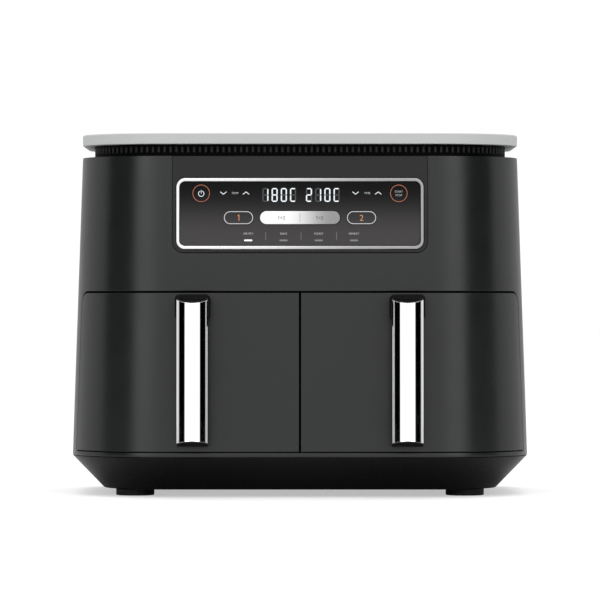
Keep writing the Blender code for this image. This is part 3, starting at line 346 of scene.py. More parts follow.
@dataclass(frozen=True)
class Glow:
    """A lit print or lamp behind the lens, with a trace of unevenness."""

    name: str
    colour: tuple
    strength: float
    unlit: float = 0.3
    dimmest: float = 0.94

    def material(self) -> bpy.types.Material:
        """Builds the finish.

        Returns:
            The material.
        """
        board = NodeBoard(self.name)
        shader = board.shader
        shader.inputs["Base Color"].default_value = shade(self.colour, self.unlit)
        shader.inputs["Roughness"].default_value = 0.5
        shader.inputs["Emission Strength"].default_value = self.strength
        low, high = shade(self.colour, self.dimmest), shade(self.colour, 1.0)
        board.link(board.blend(board.noise(scale=400, detail=1), low, high), shader.inputs["Emission Color"])
        return board.material


@dataclass(frozen=True)
class SpeckledCoat:
    """Non-stick coating: dark, softly shining, with tiny pale flecks."""

    name: str
    colour: tuple
    fleck: tuple
    flecks_per_metre: float = 420
    fleck_core: float = 0.10
    fleck_edge: float = 0.16
    roughness: tuple[float, float] = (0.28, 0.40)

    def material(self) -> bpy.types.Material:
        """Builds the finish.

        Returns:
            The material.
        """
        board = NodeBoard(self.name)
        shader = board.shader
        cells = board.add("ShaderNodeTexVoronoi")
        cells.inputs["Scale"].default_value = self.flecks_per_metre
        board.link(board.place(), cells.inputs["Vector"])
        mask = board.add("ShaderNodeMapRange")
        mask.inputs["From Min"].default_value = self.fleck_core
        mask.inputs["From Max"].default_value = self.fleck_edge
        mask.inputs["To Min"].default_value = 1.0
        mask.inputs["To Max"].default_value = 0.0
        board.link(cells.outputs["Distance"], mask.inputs["Value"])
        speckle = board.blend(mask.outputs["Result"], self.colour, self.fleck)
        board.link(speckle, shader.inputs["Base Color"])
        board.link(board.spread(board.noise(scale=90, detail=3), *self.roughness), shader.inputs["Roughness"])
        board.bump(board.noise(scale=1500, detail=2), height=0.00002, strength=0.5)
        return board.material


# ---- shaping ------------------------------------------------------------------------------------


class Shaper:
    """One mesh, started from a primitive and shaped with edit-mode operators."""

    def __init__(self, name: str, kind: str, size: tuple, centre: tuple, **options: float) -> None:
        """Adds the primitive and leaves it in edit mode, all of it selected.

        Args:
            name: the object's name.
            kind: plane, cube or cylinder.
            size: the width along X, Y and Z.
            centre: the primitive's centre.
            options: passed to the primitive's operator.
        """
        bpy.ops.object.select_all(action="DESELECT")
        add = getattr(bpy.ops.mesh, f"primitive_{kind}_add")
        if kind == "cylinder":
            add(radius=0.5, depth=1.0, **options)
        else:
            add(size=1.0, **options)
        self.obj = bpy.context.active_object
        self.obj.name = name
        bpy.ops.object.mode_set(mode="EDIT")
        bpy.ops.transform.resize(value=size)
        bpy.ops.transform.translate(value=centre)

    def pick(self, kind: Pick, test: Callable[[object], bool]) -> "Shaper":
        """Selects the elements that pass a test, and nothing else.

        Args:
            kind: which elements are tested.
            test: says whether an element is wanted.

        Returns:
            The shaper itself.
        """
        bpy.context.tool_settings.mesh_select_mode = tuple(kind is k for k in Pick)
        bm = bmesh.from_edit_mesh(self.obj.data)
        for group in (bm.verts, bm.edges, bm.faces):
            for item in group:
                item.select = False
        for item in getattr(bm, kind.value):
            if test(item):
                item.select_set(True)
        bm.select_flush_mode()
        bmesh.update_edit_mesh(self.obj.data)
        return self

    def round_verts(self, radius: float, steps: int, test: Callable[[object], bool]) -> "Shaper":
        """Rounds the chosen corners of a flat outline.

        Args:
            radius: the corners' radius.
            steps: segments round each.
            test: says which points are corners.

        Returns:
            The shaper itself.
        """
        self.pick(Pick.VERTS, test)
        bpy.ops.mesh.bevel(offset=radius, segments=steps, affect="VERTICES", clamp_overlap=False)
        return self

    def round_edges(self, width: float, steps: int, test: Callable[[object], bool]) -> "Shaper":
        """Rounds or chamfers the chosen edges.

        Args:
            width: the rounding's width.
            steps: segments across it; one makes a chamfer.
            test: says which edges are rounded.

        Returns:
            The shaper itself.
        """
        self.pick(Pick.EDGES, test)
        bpy.ops.mesh.bevel(offset=width, segments=steps, affect="EDGES", clamp_overlap=False)
        return self

    def extrude(self, *move: float) -> "Shaper":
        """Extrudes the selection by a vector."""
        bpy.ops.mesh.extrude_region_move(TRANSFORM_OT_translate={"value": move})
        return self

    def draw_in(self, inset: float, rise: float) -> "Shaper":
        """Insets the selected face and moves it along its normal, which makes a leaning wall."""
        bpy.ops.mesh.inset(thickness=inset, depth=rise, use_even_offset=True)
        return self

    def done(self) -> bpy.types.Object:
        """Merges doubled points, turns the faces outwards and leaves edit mode.

        Returns:
            The finished object.
        """
        self.pick(Pick.VERTS, lambda v: True)
        bpy.ops.mesh.remove_doubles(threshold=DOUBLES)
        bpy.ops.mesh.normals_make_consistent(inside=False)
        bpy.ops.object.mode_set(mode="OBJECT")
        return self.obj


def at_z(z: float) -> Callable[[object], bool]:
    """A test for edges or faces that lie flat at one height.

    Args:
        z: the height.

    Returns:
        The test.
    """

    def test(item: bmesh.types.BMEdge | bmesh.types.BMFace) -> bool:
        """Says whether every point of an edge or face is at that height."""
        return all(abs(v.co.z - z) < TOUCH for v in item.verts)

    return test


def on_rear_edge(y: float, z: float) -> Callable[[object], bool]:
    """A test for the edges that run across a block at one depth and one height.

    Args:
        y: the depth.
        z: the height.

    Returns:
        The test.
    """

    def test(edge: bmesh.types.BMEdge) -> bool:
        """Says whether both ends of an edge are there."""
        return all(abs(v.co.y - y) < TOUCH and abs(v.co.z - z) < TOUCH for v in edge.verts)

    return test


def apply_modifier(obj: bpy.types.Object, kind: str, **settings: object) -> None:
    """Adds a modifier and applies it at once.

    Args:
        obj: the piece.
        kind: the modifier's type.
        settings: its properties and their values.
    """
    modifier = obj.modifiers.new(kind.title(), kind)
    for key, value in settings.items():
        setattr(modifier, key, value)
    bpy.context.view_layer.objects.active = obj
    bpy.ops.object.modifier_apply(modifier=modifier.name)


def combine(obj: bpy.types.Object, other: bpy.types.Object, operation: str = "DIFFERENCE") -> None:
    """Cuts, keeps or joins by another shape, which is used up."""
    apply_modifier(obj, "BOOLEAN", object=other, operation=operation, solver="EXACT")
    bpy.data.objects.remove(other, do_unlink=True)


def smooth(obj: bpy.types.Object, angle: float = 30.0, edge: float = 0.0, steps: int = 2) -> bpy.types.Object:
    """Softens sharp edges, then shades so that flats stay flat.

    Args:
        obj: the piece.
        angle: edges sharper than this, in degrees, are softened and kept crisp.
        edge: width of the softened edge; none at 0.
        steps: segments across it.

    Returns:
        The same piece.
    """
    if edge:
        limits = {"limit_method": "ANGLE", "angle_limit": math.radians(angle), "use_clamp_overlap": False}
        apply_modifier(obj, "BEVEL", width=edge, segments=steps, miter_outer="MITER_ARC", **limits)
    bpy.ops.object.select_all(action="DESELECT")
    obj.select_set(True)
    bpy.context.view_layer.objects.active = obj
    bpy.ops.object.shade_smooth_by_angle(angle=math.radians(angle), keep_sharp_edges=False)
    apply_modifier(obj, "WEIGHTED_NORMAL", keep_sharp=True, weight=80)
    return obj


def settle(obj: bpy.types.Object, matrix: Matrix | None = None) -> bpy.types.Object:
    """Puts the object's place into its mesh, after an optional move.

    Args:
        obj: the piece.
        matrix: the move, in world coordinates.

    Returns:
        The same piece, at the origin and unturned.
    """
    if matrix:
        obj.data.transform(matrix @ obj.matrix_world)
    else:
        obj.data.transform(obj.matrix_world)
    obj.matrix_world = Matrix.Identity(4)
    return obj


def copied(obj: bpy.types.Object, name: str, matrix: Matrix) -> bpy.types.Object:
    """A copy with a mesh of its own, moved by a matrix.

    Args:
        obj: the model to copy.
        name: the copy's name.
        matrix: where the copy goes.

    Returns:
        The copy.
    """
    twin = obj.copy()
    twin.data = obj.data.copy()
    twin.name = name
    bpy.context.scene.collection.objects.link(twin)
    twin.data.transform(matrix)
    return twin


def joined(objects: list, name: str) -> bpy.types.Object:
    """Several meshes as one object.

    Args:
        objects: the pieces; the first one takes in the others.
        name: the joined piece's name.

    Returns:
        The joined piece.
    """
    bpy.ops.object.select_all(action="DESELECT")
    for obj in objects:
        obj.select_set(True)
    bpy.context.view_layer.objects.active = objects[0]
    bpy.ops.object.join()
    objects[0].name = name
    return objects[0]


def rounded_prism(name: str, low: tuple, high: tuple, radius: float, steps: int = SMALL_STEPS) -> Shaper:
    """A rounded rectangle in X and Y, extruded from the low corner's Z to the high corner's.

    Args:
        name: the object's name.
        low: the lowest corner.
        high: the highest corner.
        radius: the upright corners' radius.
        steps: segments round each corner.

    Returns:
        The shaper, with the upper face selected.
    """
    size = (high[0] - low[0], high[1] - low[1], 1.0)
    centre = ((low[0] + high[0]) / 2, (low[1] + high[1]) / 2, low[2])
    shaper = Shaper(name, "plane", size, centre)
    shaper.round_verts(radius, steps, lambda v: True)
    shaper.pick(Pick.FACES, lambda f: True)
    return shaper.extrude(0, 0, high[2] - low[2])


def pill_outline(name: str, centre: tuple, width: float, height: float, z: float) -> Shaper:
    """A flat pill in X and Y: straight sides and round ends.

    Args:
        name: the object's name.
        centre: its middle in X and Y.
        width: its size along X.
        height: its size along Y.
        z: the plane it lies in.

    Returns:
        The shaper, with the face selected.
    """
    shaper = Shaper(name, "plane", (width, height, 1.0), (*centre, z))
    shaper.round_verts(min(width, height) / 2 * PILL_END, SMALL_STEPS * 2, lambda v: True)
    return shaper.pick(Pick.FACES, lambda f: True)


def pill_prism(name: str, centre: tuple, width: float, height: float, low: float, high: float) -> Shaper:
    """A pill between two heights."""
    return pill_outline(name, centre, width, height, low).extrude(0, 0, high - low)


# ---- the body's form ----------------------------------------------------------------------------


@dataclass(frozen=True)
class BodyForm:
    """The tapering rounded box that the casing pieces share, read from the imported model."""

    half: float
    front: float
    rear: float
    low: float
    front_radius: float = 0.088
    rear_radius: float = 0.060
    taper: float = 0.0344

    @classmethod
    def read(cls) -> "BodyForm":
        """Takes the footprint from the base tray and the lower edge from the housing."""
        base_low, base_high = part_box("base_tray")
        return cls(base_high.x, base_low.y, base_high.y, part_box("outer_housing")[0].z)

    def lean(self, z: float) -> float:
        """How far the sides have come in at this height."""
        return self.taper * (z - self.low)

    def plan(self, name: str, inset: float, z: float) -> Shaper:
        """The flat outline of the body, pulled in by the inset.

        Args:
            name: the object's name.
            inset: how far it is pulled in.
            z: the plane it lies in.

        Returns:
            The shaper, with the face selected.
        """
        low_y, high_y = self.front + inset, self.rear - inset
        size = (2 * (self.half - inset), high_y - low_y, 1.0)
        middle = (low_y + high_y) / 2
        shaper = Shaper(name, "plane", size, (0, middle, z))
        shaper.round_verts(self.front_radius - inset, ARC_STEPS, lambda v: v.co.y < middle)
        shaper.round_verts(self.rear_radius - inset, ARC_STEPS, lambda v: v.co.y > high_y - TOUCH)
        return shaper.pick(Pick.FACES, lambda f: True)

    def solid(self, name: str, z0: float, z1: float, inset: float = 0.0) -> bpy.types.Object:
        """The leaning body between two heights.

        Args:
            name: the object's name.
            z0: the lower height.
            z1: the upper height.
            inset: how far its walls are pulled in.

        Returns:
            The solid.
        """
        shaper = self.plan(name, self.lean(z0) + inset, z0).extrude(0, 0, 0)
        shaper.draw_in(self.taper * (z1 - z0), z1 - z0)
        return shaper.done()

    def walk(self, inset: float, pitch: float) -> Iterator[tuple[float, float, float]]:
        """Points at an even pitch round the outline, each with the outward direction's angle.

        Args:
            inset: how far the outline is pulled in.
            pitch: the distance between points.

        Returns:
            An iterator of x, y and the outward direction's angle in radians.
        """
        half, front, rear = self.half - inset, self.front + inset, self.rear - inset
        rf, rr = self.front_radius - inset, self.rear_radius - inset
        runs = (  # a straight run's two ends, or a corner's centre, radius and first angle
            ((-half + rf, front), (half - rf, front), None),
            ((half - rf, front + rf), rf, -90),
            ((half, front + rf), (half, rear - rr), None),
            ((half - rr, rear - rr), rr, 0),
            ((half - rr, rear), (-half + rr, rear), None),
            ((-half + rr, rear - rr), rr, 90),
            ((-half, rear - rr), (-half, front + rf), None),
            ((-half + rf, front + rf), rf, 180),
        )
        for start, end, turn in runs:
            length = math.dist(start, end) if turn is None else math.pi / 2 * end
            count = max(1, round(length / pitch))
            for i in range(count):
                share = (i + 0.5) / count
                if turn is None:
                    x = start[0] + (end[0] - start[0]) * share
                    y = start[1] + (end[1] - start[1]) * share
                    yield x, y, math.atan2(end[1] - start[1], end[0] - start[0]) - math.pi / 2
                else:
                    angle = math.radians(turn + 90 * share)
                    yield start[0] + end * math.cos(angle), start[1] + end * math.sin(angle), angle

    def up_face(self, z: float) -> float:
        """How far up a leaning face, from its lower edge, a height in the world is."""
        return (z - self.low) / math.cos(math.atan(self.taper))

    def face_matrix(self) -> Matrix:
        """From face coordinates to the world, for what lies on the front plane.

        Returns:
            The matrix; its X is right, its Y is up the face and its Z is out.
        """
        lean = math.atan(self.taper)
        turn = Matrix.Rotation(math.pi / 2 - lean, 4, "X")
        return Matrix.Translation((0, self.front, self.low)) @ turn

    def rear_matrix(self) -> Matrix:
        """From face coordinates to the world, for what lies on the rear plane.

        Returns:
            The matrix; its X is left, its Y is up the face and its Z is out.
        """
        lean = math.atan(self.taper)
        turn = Matrix.Rotation(math.pi, 4, "Z") @ Matrix.Rotation(math.pi / 2 - lean, 4, "X")
        return Matrix.Translation((0, self.rear, self.low)) @ turn


def dress(
    obj: bpy.types.Object, finish: bpy.types.Material, slot: Slot, body: str, *replaced: str
) -> bpy.types.Object:
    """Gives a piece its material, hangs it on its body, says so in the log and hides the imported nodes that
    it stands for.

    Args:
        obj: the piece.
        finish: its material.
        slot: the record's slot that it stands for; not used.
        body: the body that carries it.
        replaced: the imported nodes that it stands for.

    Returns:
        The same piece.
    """
    obj.data.materials.clear()
    obj.data.materials.append(finish)
    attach(obj, body)
    if replaced:
        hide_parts(*replaced)
    log.info("%s rides on %s", obj.name, body)
    return obj


# ---- casing -------------------------------------------------------------------------------------


@dataclass
class Casing:
    """Lid, neck, housing, base tray and feet."""

    form: BodyForm
    wall: float = 0.003
    seam_edge: float = 0.0005
    lid_lower_edge: float = 0.0008
    lid_upper_edge: float = 0.0014
    neck_bands: tuple[float, float, float] = (0.32, 0.48, 0.20)
    rib_pitch: float = 0.0053
    rib_width: float = 0.0021
    rib_depth: float = 0.0013
    rib_root: float = 0.3
    rib_edge: float = 0.0005
    mouth_gap: float = 0.0008
    mouth_brow_gap: float = 0.0016
    mouth_corner: float = 0.0126
    mouth_heel: float = 0.0025
    cover_gap: float = 0.0003
    cover_seat: float = 0.0019
    cover_ledge: float = 0.008
    cover_corner: float = 0.008
    notch_gap: float = 0.0003
    notch_corner: float = 0.0103
    notch_depths: tuple[float, float] = (-0.009, 0.006)
    chamfer: float = 0.0287
    base_wall: float = 0.0042
    base_floor: float = 0.0040
    base_slack: float = 0.0030
    base_rim_clear: float = 0.001
    base_edge: float = 0.0009
    intake: tuple[float, float] = (0.060, 0.005)
    intake_pitch: float = 0.012
    intake_rows: int = 4
    foot_rim: float = 0.0040
    foot_groove: tuple[float, float] = (0.0004, 0.0008)
    foot_edge: float = 0.0010

    def lid(self) -> bpy.types.Object:
        """The flat top plate with a soft upper edge.

        Returns:
            The piece.
        """
        low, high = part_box("top_plate")
        inset = self.form.half - high.x
        shaper = self.form.plan("lid_plate", inset, low.z).extrude(0, 0, high.z - low.z)
        shaper.round_edges(self.lid_upper_edge, 5, at_z(high.z))
        shaper.round_edges(self.lid_lower_edge, 3, at_z(low.z))
        piece = smooth(shaper.done(), 50)
        finish = MouldedPlastic("lid_satin", tone(197, 199, 199), 0.42, 0.4, drift=0.01)
        return dress(piece, finish.material(), Slot.LID, "housing", "top_plate")

    def neck(self) -> bpy.types.Object:
        """The recessed wall, coloured near-black as painted shade under the lid and between the ribs, with a
        groove round it for the ribs.

        Returns:
            The piece.
        """
        low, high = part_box("vent_neck")
        bands = [(high.z - low.z) * share for share in self.neck_bands]
        shaper = self.form.plan("neck_wall", self.form.half - high.x, low.z)
        for band in bands:
            shaper.extrude(0, 0, band)
        groove_low = low.z + bands[0]
        groove_high = groove_low + bands[1]

        def in_groove(face: bmesh.types.BMFace) -> bool:
            """Says whether a face is an upright one in the middle band."""
            return groove_low < face.calc_center_median().z < groove_high and abs(face.normal.z) < 0.5

        shaper.pick(Pick.FACES, lambda f: True)
        bpy.ops.mesh.normals_make_consistent(inside=False)
        shaper.pick(Pick.FACES, in_groove)
        bpy.ops.mesh.extrude_region_shrink_fatten(TRANSFORM_OT_shrink_fatten={"value": -self.rib_depth})
        piece = smooth(shaper.done(), 40)
        # painted shade: the wall is far darker than the ribs of the same moulding
        trim = MouldedPlastic("neck_painted_shade", tone(6, 6, 6), 0.6, 0.05)
        return dress(piece, trim.material(), Slot.TRIM, "housing", "vent_neck")

    def ribs(self) -> bpy.types.Object:
        """The ribs: one is shaped, and copies follow the outline at an even pitch.

        Returns:
            All the ribs as one piece.
        """
        low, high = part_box("vent_neck")
        tall = high.z - low.z
        below, grooved, _ = self.neck_bands
        reach = self.rib_depth * (1 + self.rib_root)
        shaper = Shaper("vent_ribs", "cube", (reach, self.rib_width, tall * grooved), (-reach / 2, 0, 0))

        def front_upright(edge: bmesh.types.BMEdge) -> bool:
            """Says whether an edge stands upright at the rib's front."""
            first, last = (vert.co for vert in edge.verts)
            return min(first.x, last.x) > -TOUCH / 10 and abs(first.z - last.z) > TOUCH * 10

        shaper.round_edges(self.rib_edge, 2, front_upright)
        model = smooth(shaper.done(), 40)
        middle = low.z + tall * (below + grooved / 2)
        copies = []
        for x, y, angle in self.form.walk(self.form.half - high.x, self.rib_pitch):
            move = Matrix.Translation((x, y, middle)) @ Matrix.Rotation(angle, 4, "Z")
            copies.append(copied(model, "rib", move))
        bpy.data.objects.remove(model, do_unlink=True)
        # the ribs share one moulding with the neck wall, whose darker tone is painted shade
        finish = MouldedPlastic("rib_grey", tone(34, 34, 35), 0.5, 0.3)
        return dress(joined(copies, "vent_ribs"), finish.material(), Slot.TRIM, "housing")

    def mouth(self) -> bpy.types.Object:
        """The space that both drawers' fronts take up, right across the body.

        Returns:
            The tool that cuts it.
        """
        front_low, front_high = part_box("drawer_front_left")
        low, high = front_low.z - self.mouth_gap, front_high.z + self.mouth_brow_gap
        front, rear = self.form.front - 10 * THROUGH, front_high.y + self.mouth_gap
        size = (2 * (self.form.half + 10 * THROUGH), rear - front, high - low)
        shaper = Shaper("mouth", "cube", size, (0, (front + rear) / 2, (low + high) / 2))
        shaper.round_edges(self.mouth_corner, 10, on_rear_edge(rear, high))
        shaper.round_edges(self.mouth_heel, 4, on_rear_edge(rear, low))
        return shaper.done()

    def housing(self) -> bpy.types.Object:
        """The one-piece wrap: mouth for the drawers, notch for the fascia, window for the rear cover.

        Returns:
            The piece.
        """
        form = self.form
        low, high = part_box("outer_housing")
        piece = form.solid("housing_shell", low.z, high.z)
        combine(piece, form.solid("hollow", low.z - THROUGH, high.z + THROUGH, self.wall))
        combine(piece, self.mouth())
        combine(piece, self.fascia_notch())
        (x0, y0), (x1, y1) = self.rear_cover_span()
        for grow, depth in ((self.cover_gap, self.cover_seat), (-self.cover_ledge, 2 * THROUGH)):
            low_corner = (x0 - grow, y0 - grow, -depth)
            high_corner = (x1 + grow, y1 + grow, THROUGH)
            tool = rounded_prism("recess", low_corner, high_corner, self.cover_corner).done()
            combine(piece, settle(tool, form.rear_matrix()))
        smooth(piece, 30, self.seam_edge)
        finish = MouldedPlastic("graphite_satin", SHELL_TONE, SHELL_ROUGHNESS)
        return dress(piece, finish.material(), Slot.SHELL, "housing", "outer_housing")

    def rear_cover_span(self) -> tuple[tuple[float, float], tuple[float, float]]:
        """The rear cover's lowest and highest corners, in the rear plane's coordinates."""
        low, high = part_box("rear_cover")
        return (low.x, self.form.up_face(low.z)), (high.x, self.form.up_face(high.z))

    def fascia_notch(self) -> bpy.types.Object:
        """The notch in which the control fascia sits, open at the top.

        Returns:
            The tool that cuts it.
        """
        low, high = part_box("control_fascia")
        back, front = self.notch_depths
        low_corner = (low.x - self.notch_gap, low.z - self.form.low - self.notch_gap, back)
        high_corner = (high.x + self.notch_gap, high.z - self.form.low + 2 * THROUGH, front)
        tool = rounded_prism("notch", low_corner, high_corner, self.notch_corner).done()
        return settle(tool, self.form.face_matrix())

    def base(self) -> bpy.types.Object:
        """The chamfered tray under the housing, with intake slots under each basket.

        Returns:
            The piece.
        """
        low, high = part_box("base_tray")
        tall = high.z - low.z
        shaper = self.form.plan("base_pan", 0.0, high.z).extrude(0, 0, 0)
        piece = shaper.draw_in(self.chamfer, -tall).done()
        hollow = self.form.plan("hollow", self.base_wall, high.z + self.base_rim_clear).extrude(0, 0, 0)
        hollow.draw_in(self.chamfer - self.base_slack, self.base_floor - tall)
        combine(piece, hollow.done())
        for side, _ in SIDES:
            basket_low, basket_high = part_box(f"basket_{side}")
            middle = (basket_low + basket_high) / 2
            for row in range(self.intake_rows):
                step = (row - (self.intake_rows - 1) / 2) * self.intake_pitch
                slot = pill_prism("slot", (middle.x, middle.y + step), *self.intake, 0.0, 3 * THROUGH)
                combine(piece, slot.done())
        smooth(piece, 25, self.base_edge, 3)
        finish = MouldedPlastic("base_satin", tone(4, 4, 4), 0.28, 0.22)
        return dress(piece, finish.material(), Slot.BASE, "housing", "base_tray")

    def foot(self, node: str, finish: bpy.types.Material) -> bpy.types.Object:
        """One moulded rubber foot, with a groove round its sole and a soft lower edge.

        Args:
            node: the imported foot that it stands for.
            finish: its rubber.

        Returns:
            The piece.
        """
        low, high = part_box(node)
        centre, size = (low + high) / 2, high - low
        shaper = Shaper(f"{node}_pad", "cylinder", tuple(size), tuple(centre), vertices=64)
        shaper.pick(Pick.FACES, at_z(low.z))
        width, depth = self.foot_groove
        shaper.draw_in(self.foot_rim, 0.0).draw_in(width, -depth)

        def on_lower_rim(edge: bmesh.types.BMEdge) -> bool:
            """Says whether an edge lies on the outer rim, below the middle.

            Args:
                edge: the edge.

            Returns:
                Whether it does.
            """
            spots = [vert.co for vert in edge.verts]
            on_rim = all(abs(math.dist(spot.xy, centre.xy) - size.x / 2) < TOUCH for spot in spots)
            return on_rim and all(spot.z < centre.z for spot in spots)

        shaper.round_edges(self.foot_edge, 3, on_lower_rim)
        return dress(smooth(shaper.done(), 40), finish, Slot.RUBBER, "housing", node)

    def build(self) -> None:
        """Builds every casing piece."""
        self.lid()
        self.neck()
        self.ribs()
        self.housing()
        self.base()
        rubber = MouldedPlastic("foot_rubber", tone(20, 20, 20), 0.72, 0.3, 0.00003).material()
        for row in ("front", "rear"):
            for side, _ in SIDES:
                self.foot(f"foot_{row}_{side}", rubber)


# ---- control panel ------------------------------------------------------------------------------


class Ink(Enum):
    """The prints and lamps behind the lens."""

    WHITE = ("lit_white", tone(238, 246, 250), 0.85)
    SOFT = ("print_white", tone(214, 216, 218), 0.45)
    LAMP = ("lamp_white", tone(250, 250, 248), 1.0)
    DIM = ("lamp_off", tone(168, 168, 166), 0.28)
    GHOST = ("ghost_segment", tone(104, 108, 108), 0.10)
    AMBER = ("copper_print", tone(222, 150, 104), 0.55)


class Segment(Enum):
    """The seven strokes of a digit: middle across, middle up, and whether it lies flat."""

    TOP = (0, 1, True)
    MIDDLE = (0, 0, True)
    BOTTOM = (0, -1, True)
    UPPER_LEFT = (-1, 0.5, False)
    UPPER_RIGHT = (1, 0.5, False)
    LOWER_LEFT = (-1, -0.5, False)
    LOWER_RIGHT = (1, -0.5, False)


LEFT_PAIR = {Segment.UPPER_LEFT, Segment.LOWER_LEFT}
RIGHT_PAIR = {Segment.UPPER_RIGHT, Segment.LOWER_RIGHT}
DIGITS = {
    "0": set(Segment) - {Segment.MIDDLE},
    "1": RIGHT_PAIR,
    "2": {Segment.TOP, Segment.UPPER_RIGHT, Segment.MIDDLE, Segment.LOWER_LEFT, Segment.BOTTOM},
    "8": set(Segment),
    "C": {Segment.TOP, Segment.BOTTOM} | LEFT_PAIR,
}
ARROWS = {-0.0683: False, -0.0481: True, 0.0495: False, 0.0697: True}  # place across, and points up
CAPTIONS = {"TEMP": -0.0579, "TIME": 0.0598}  # place across
FUNCTIONS = {"AIR FRY": -0.0461, "BAKE": -0.0146, "ROAST": 0.0167, "REHEAT": 0.0481}  # place across
SEPARATORS = (-0.0314, 0.0, 0.0317)  # place across
SYNC_MARKS = {"+2": -0.0165, "=2": 0.0175}  # what follows the 1, and its place across the key
CAPITAL = 0.73  # a capital's height, as a share of the type's size


@dataclass
class ControlPanel:
    """Fascia, bezel, lens, keys, display and prints, laid out on the leaning front plane.

    Places across are from the middle, and places up are along the face from the housing's lower edge.
    """

    form: BodyForm
    middle: float = 0.21695
    top: float = 0.2685
    back: float = -0.0030
    gap: float = 0.0003
    fascia_half: float = 0.1137
    fascia_height: float = 0.0861
    fascia_corner: float = 0.0097
    fascia_edge: float = 0.0004
    bezel: tuple[float, float] = (0.2206, 0.0635)
    bezel_radius: float = 0.0080
    bezel_ring: float = 0.0030
    bezel_proud: float = 0.0010
    bezel_edge: float = 0.0007
    lens_face: float = -0.0006
    # margins of the lens's painted reflection, at the bottom and at the top
    lens_reflection_margins: tuple[float, float] = (0.006, 0.002)
    key_gap: float = 0.0004
    key_radius: float = 0.0078
    key_x: float = 0.0880
    key_rise: float = 0.0182
    key_depth: float = 0.0044
    key_edge: float = 0.0002
    pill_height: float = 0.0117
    pill_drop: float = 0.0035
    zone_x: float = 0.0548
    zone_width: float = 0.0262
    sync_width: float = 0.0714
    sync_edge: float = 0.0004
    ring_inset: float = 0.0001
    ring_proud: float = 0.00006
    ring_depth: float = 0.0012
    round_ring: float = 0.0005
    pill_ring: float = 0.0007
    digit: tuple[float, float] = (0.0043, 0.0112)
    digit_stroke: float = 0.0011
    digit_gap: float = 0.0003
    digit_pitch: float = 0.0082
    digit_rise: float = 0.0168
    digit_group: float = 0.0194
    digit_point: float = 0.46
    print_shift: float = 0.0009
    print_rise: float = 0.0003
    print_thick: float = 0.00004
    lamp_thick: float = 0.00005
    word_height: float = 0.0019
    arrow_arm: tuple[float, float] = (0.0036, 0.0006)
    arrow_tilt: float = 38.0
    arrow_reach: float = 0.00135
    row_drop: float = 0.0237
    function_rise: float = 0.0061
    separator: tuple[float, float] = (0.0004, 0.0070)
    separator_rise: float = 0.0038
    lamp: tuple[float, float] = (0.0073, 0.0015)
    icon_widths: tuple[float, float] = (0.0054, 0.0044)
    icon_drop: float = 0.0003
    icon_gap: tuple[float, float] = (0.0018, 0.0030)
    icon_gap_rise: float = 0.0023
    icon_stem: tuple[float, float] = (0.0005, 0.0030)
    icon_stem_rise: float = 0.0014
    start_word: float = 0.0018
    start_spread: float = 0.0016
    numeral: float = 0.0056
    sync_numeral: float = 0.0032
    sync_one: float = -0.0026
    sync_rest: float = 0.0009
    sync_line: tuple[float, float] = (0.0003, 0.7)

    def on_face(self, obj: bpy.types.Object) -> bpy.types.Object:
        """Moves a piece from face coordinates into place."""
        return settle(obj, self.form.face_matrix())

    def frame_prism(self, name: str, inset: float, low: float, high: float) -> Shaper:
        """The bezel's rounded rectangle between two depths.

        Args:
            name: the object's name.
            inset: how far it is pulled in.
            low: the rear depth.
            high: the front depth.

        Returns:
            The shaper, with the front face selected.
        """
        half_x, half_y = self.bezel[0] / 2 - inset, self.bezel[1] / 2 - inset
        corner_low = (-half_x, self.middle - half_y, low)
        corner_high = (half_x, self.middle + half_y, high)
        return rounded_prism(name, corner_low, corner_high, self.bezel_radius - inset, 12)

    def fascia(self) -> bpy.types.Object:
        """The darker plate let into the housing, square at the top and rounded at the bottom.

        Returns:
            The piece.
        """
        width, height = 2 * self.fascia_half, self.fascia_height - self.gap
        centre = (0, self.top - self.fascia_height + height / 2, self.back)
        shaper = Shaper("fascia_panel", "plane", (width, height, 1.0), centre)
        shaper.round_verts(self.fascia_corner, 14, lambda v: v.co.y < self.middle)
        piece = shaper.pick(Pick.FACES, lambda f: True).extrude(0, 0, -self.back).done()
        combine(piece, self.frame_prism("window", -self.gap, -THROUGH, THROUGH).done())
        smooth(piece, 40, self.fascia_edge)
        finish = MouldedPlastic("fascia_satin", tone(16, 17, 17), 0.28, 0.38)
        return dress(self.on_face(piece), finish.material(), Slot.FASCIA, "housing", "control_fascia")

    def bezel_piece(self) -> bpy.types.Object:
        """The bright ring, its front edges rolled over.

        Returns:
            The piece.
        """
        piece = self.frame_prism("bezel_bright", 0.0, self.back, self.bezel_proud).done()
        combine(piece, self.frame_prism("hole", self.bezel_ring, -THROUGH, THROUGH).done())
        smooth(piece, 40, self.bezel_edge, 4)
        # painted reflection: the chrome's colour runs from white at the left to grey at the right
        tones = (tone(238, 238, 239), tone(160, 160, 162))
        finish = GlossWithPaintedReflection("bezel_chrome_painted_reflection", *tones, -0.105, 0.10, metallic=1.0, roughness=0.16, axis="X")
        return dress(self.on_face(piece), finish.material(), Slot.CHROME, "housing", "bezel_ring")

    def keys(self) -> dict[str, tuple[tuple[float, float], float]]:
        """Each key's place and width.

        Returns:
            The centre and the width by the key's name.
        """
        high, low = self.middle + self.key_rise, self.middle - self.pill_drop
        round_width = 2 * self.key_radius
        return {
            "power_key": ((-self.key_x, high), round_width),
            "start_key": ((self.key_x, high), round_width),
            "zone_key_left": ((-self.zone_x, low), self.zone_width),
            "zone_key_right": ((self.zone_x, low), self.zone_width),
            "sync_match_key": ((0.0, low), self.sync_width),
        }

    def key_size(self, key: str) -> tuple[float, float]:
        """A key's width and height; a round key is as high as it is wide."""
        _, width = self.keys()[key]
        return width, self.pill_height if width > 2 * self.key_radius else width

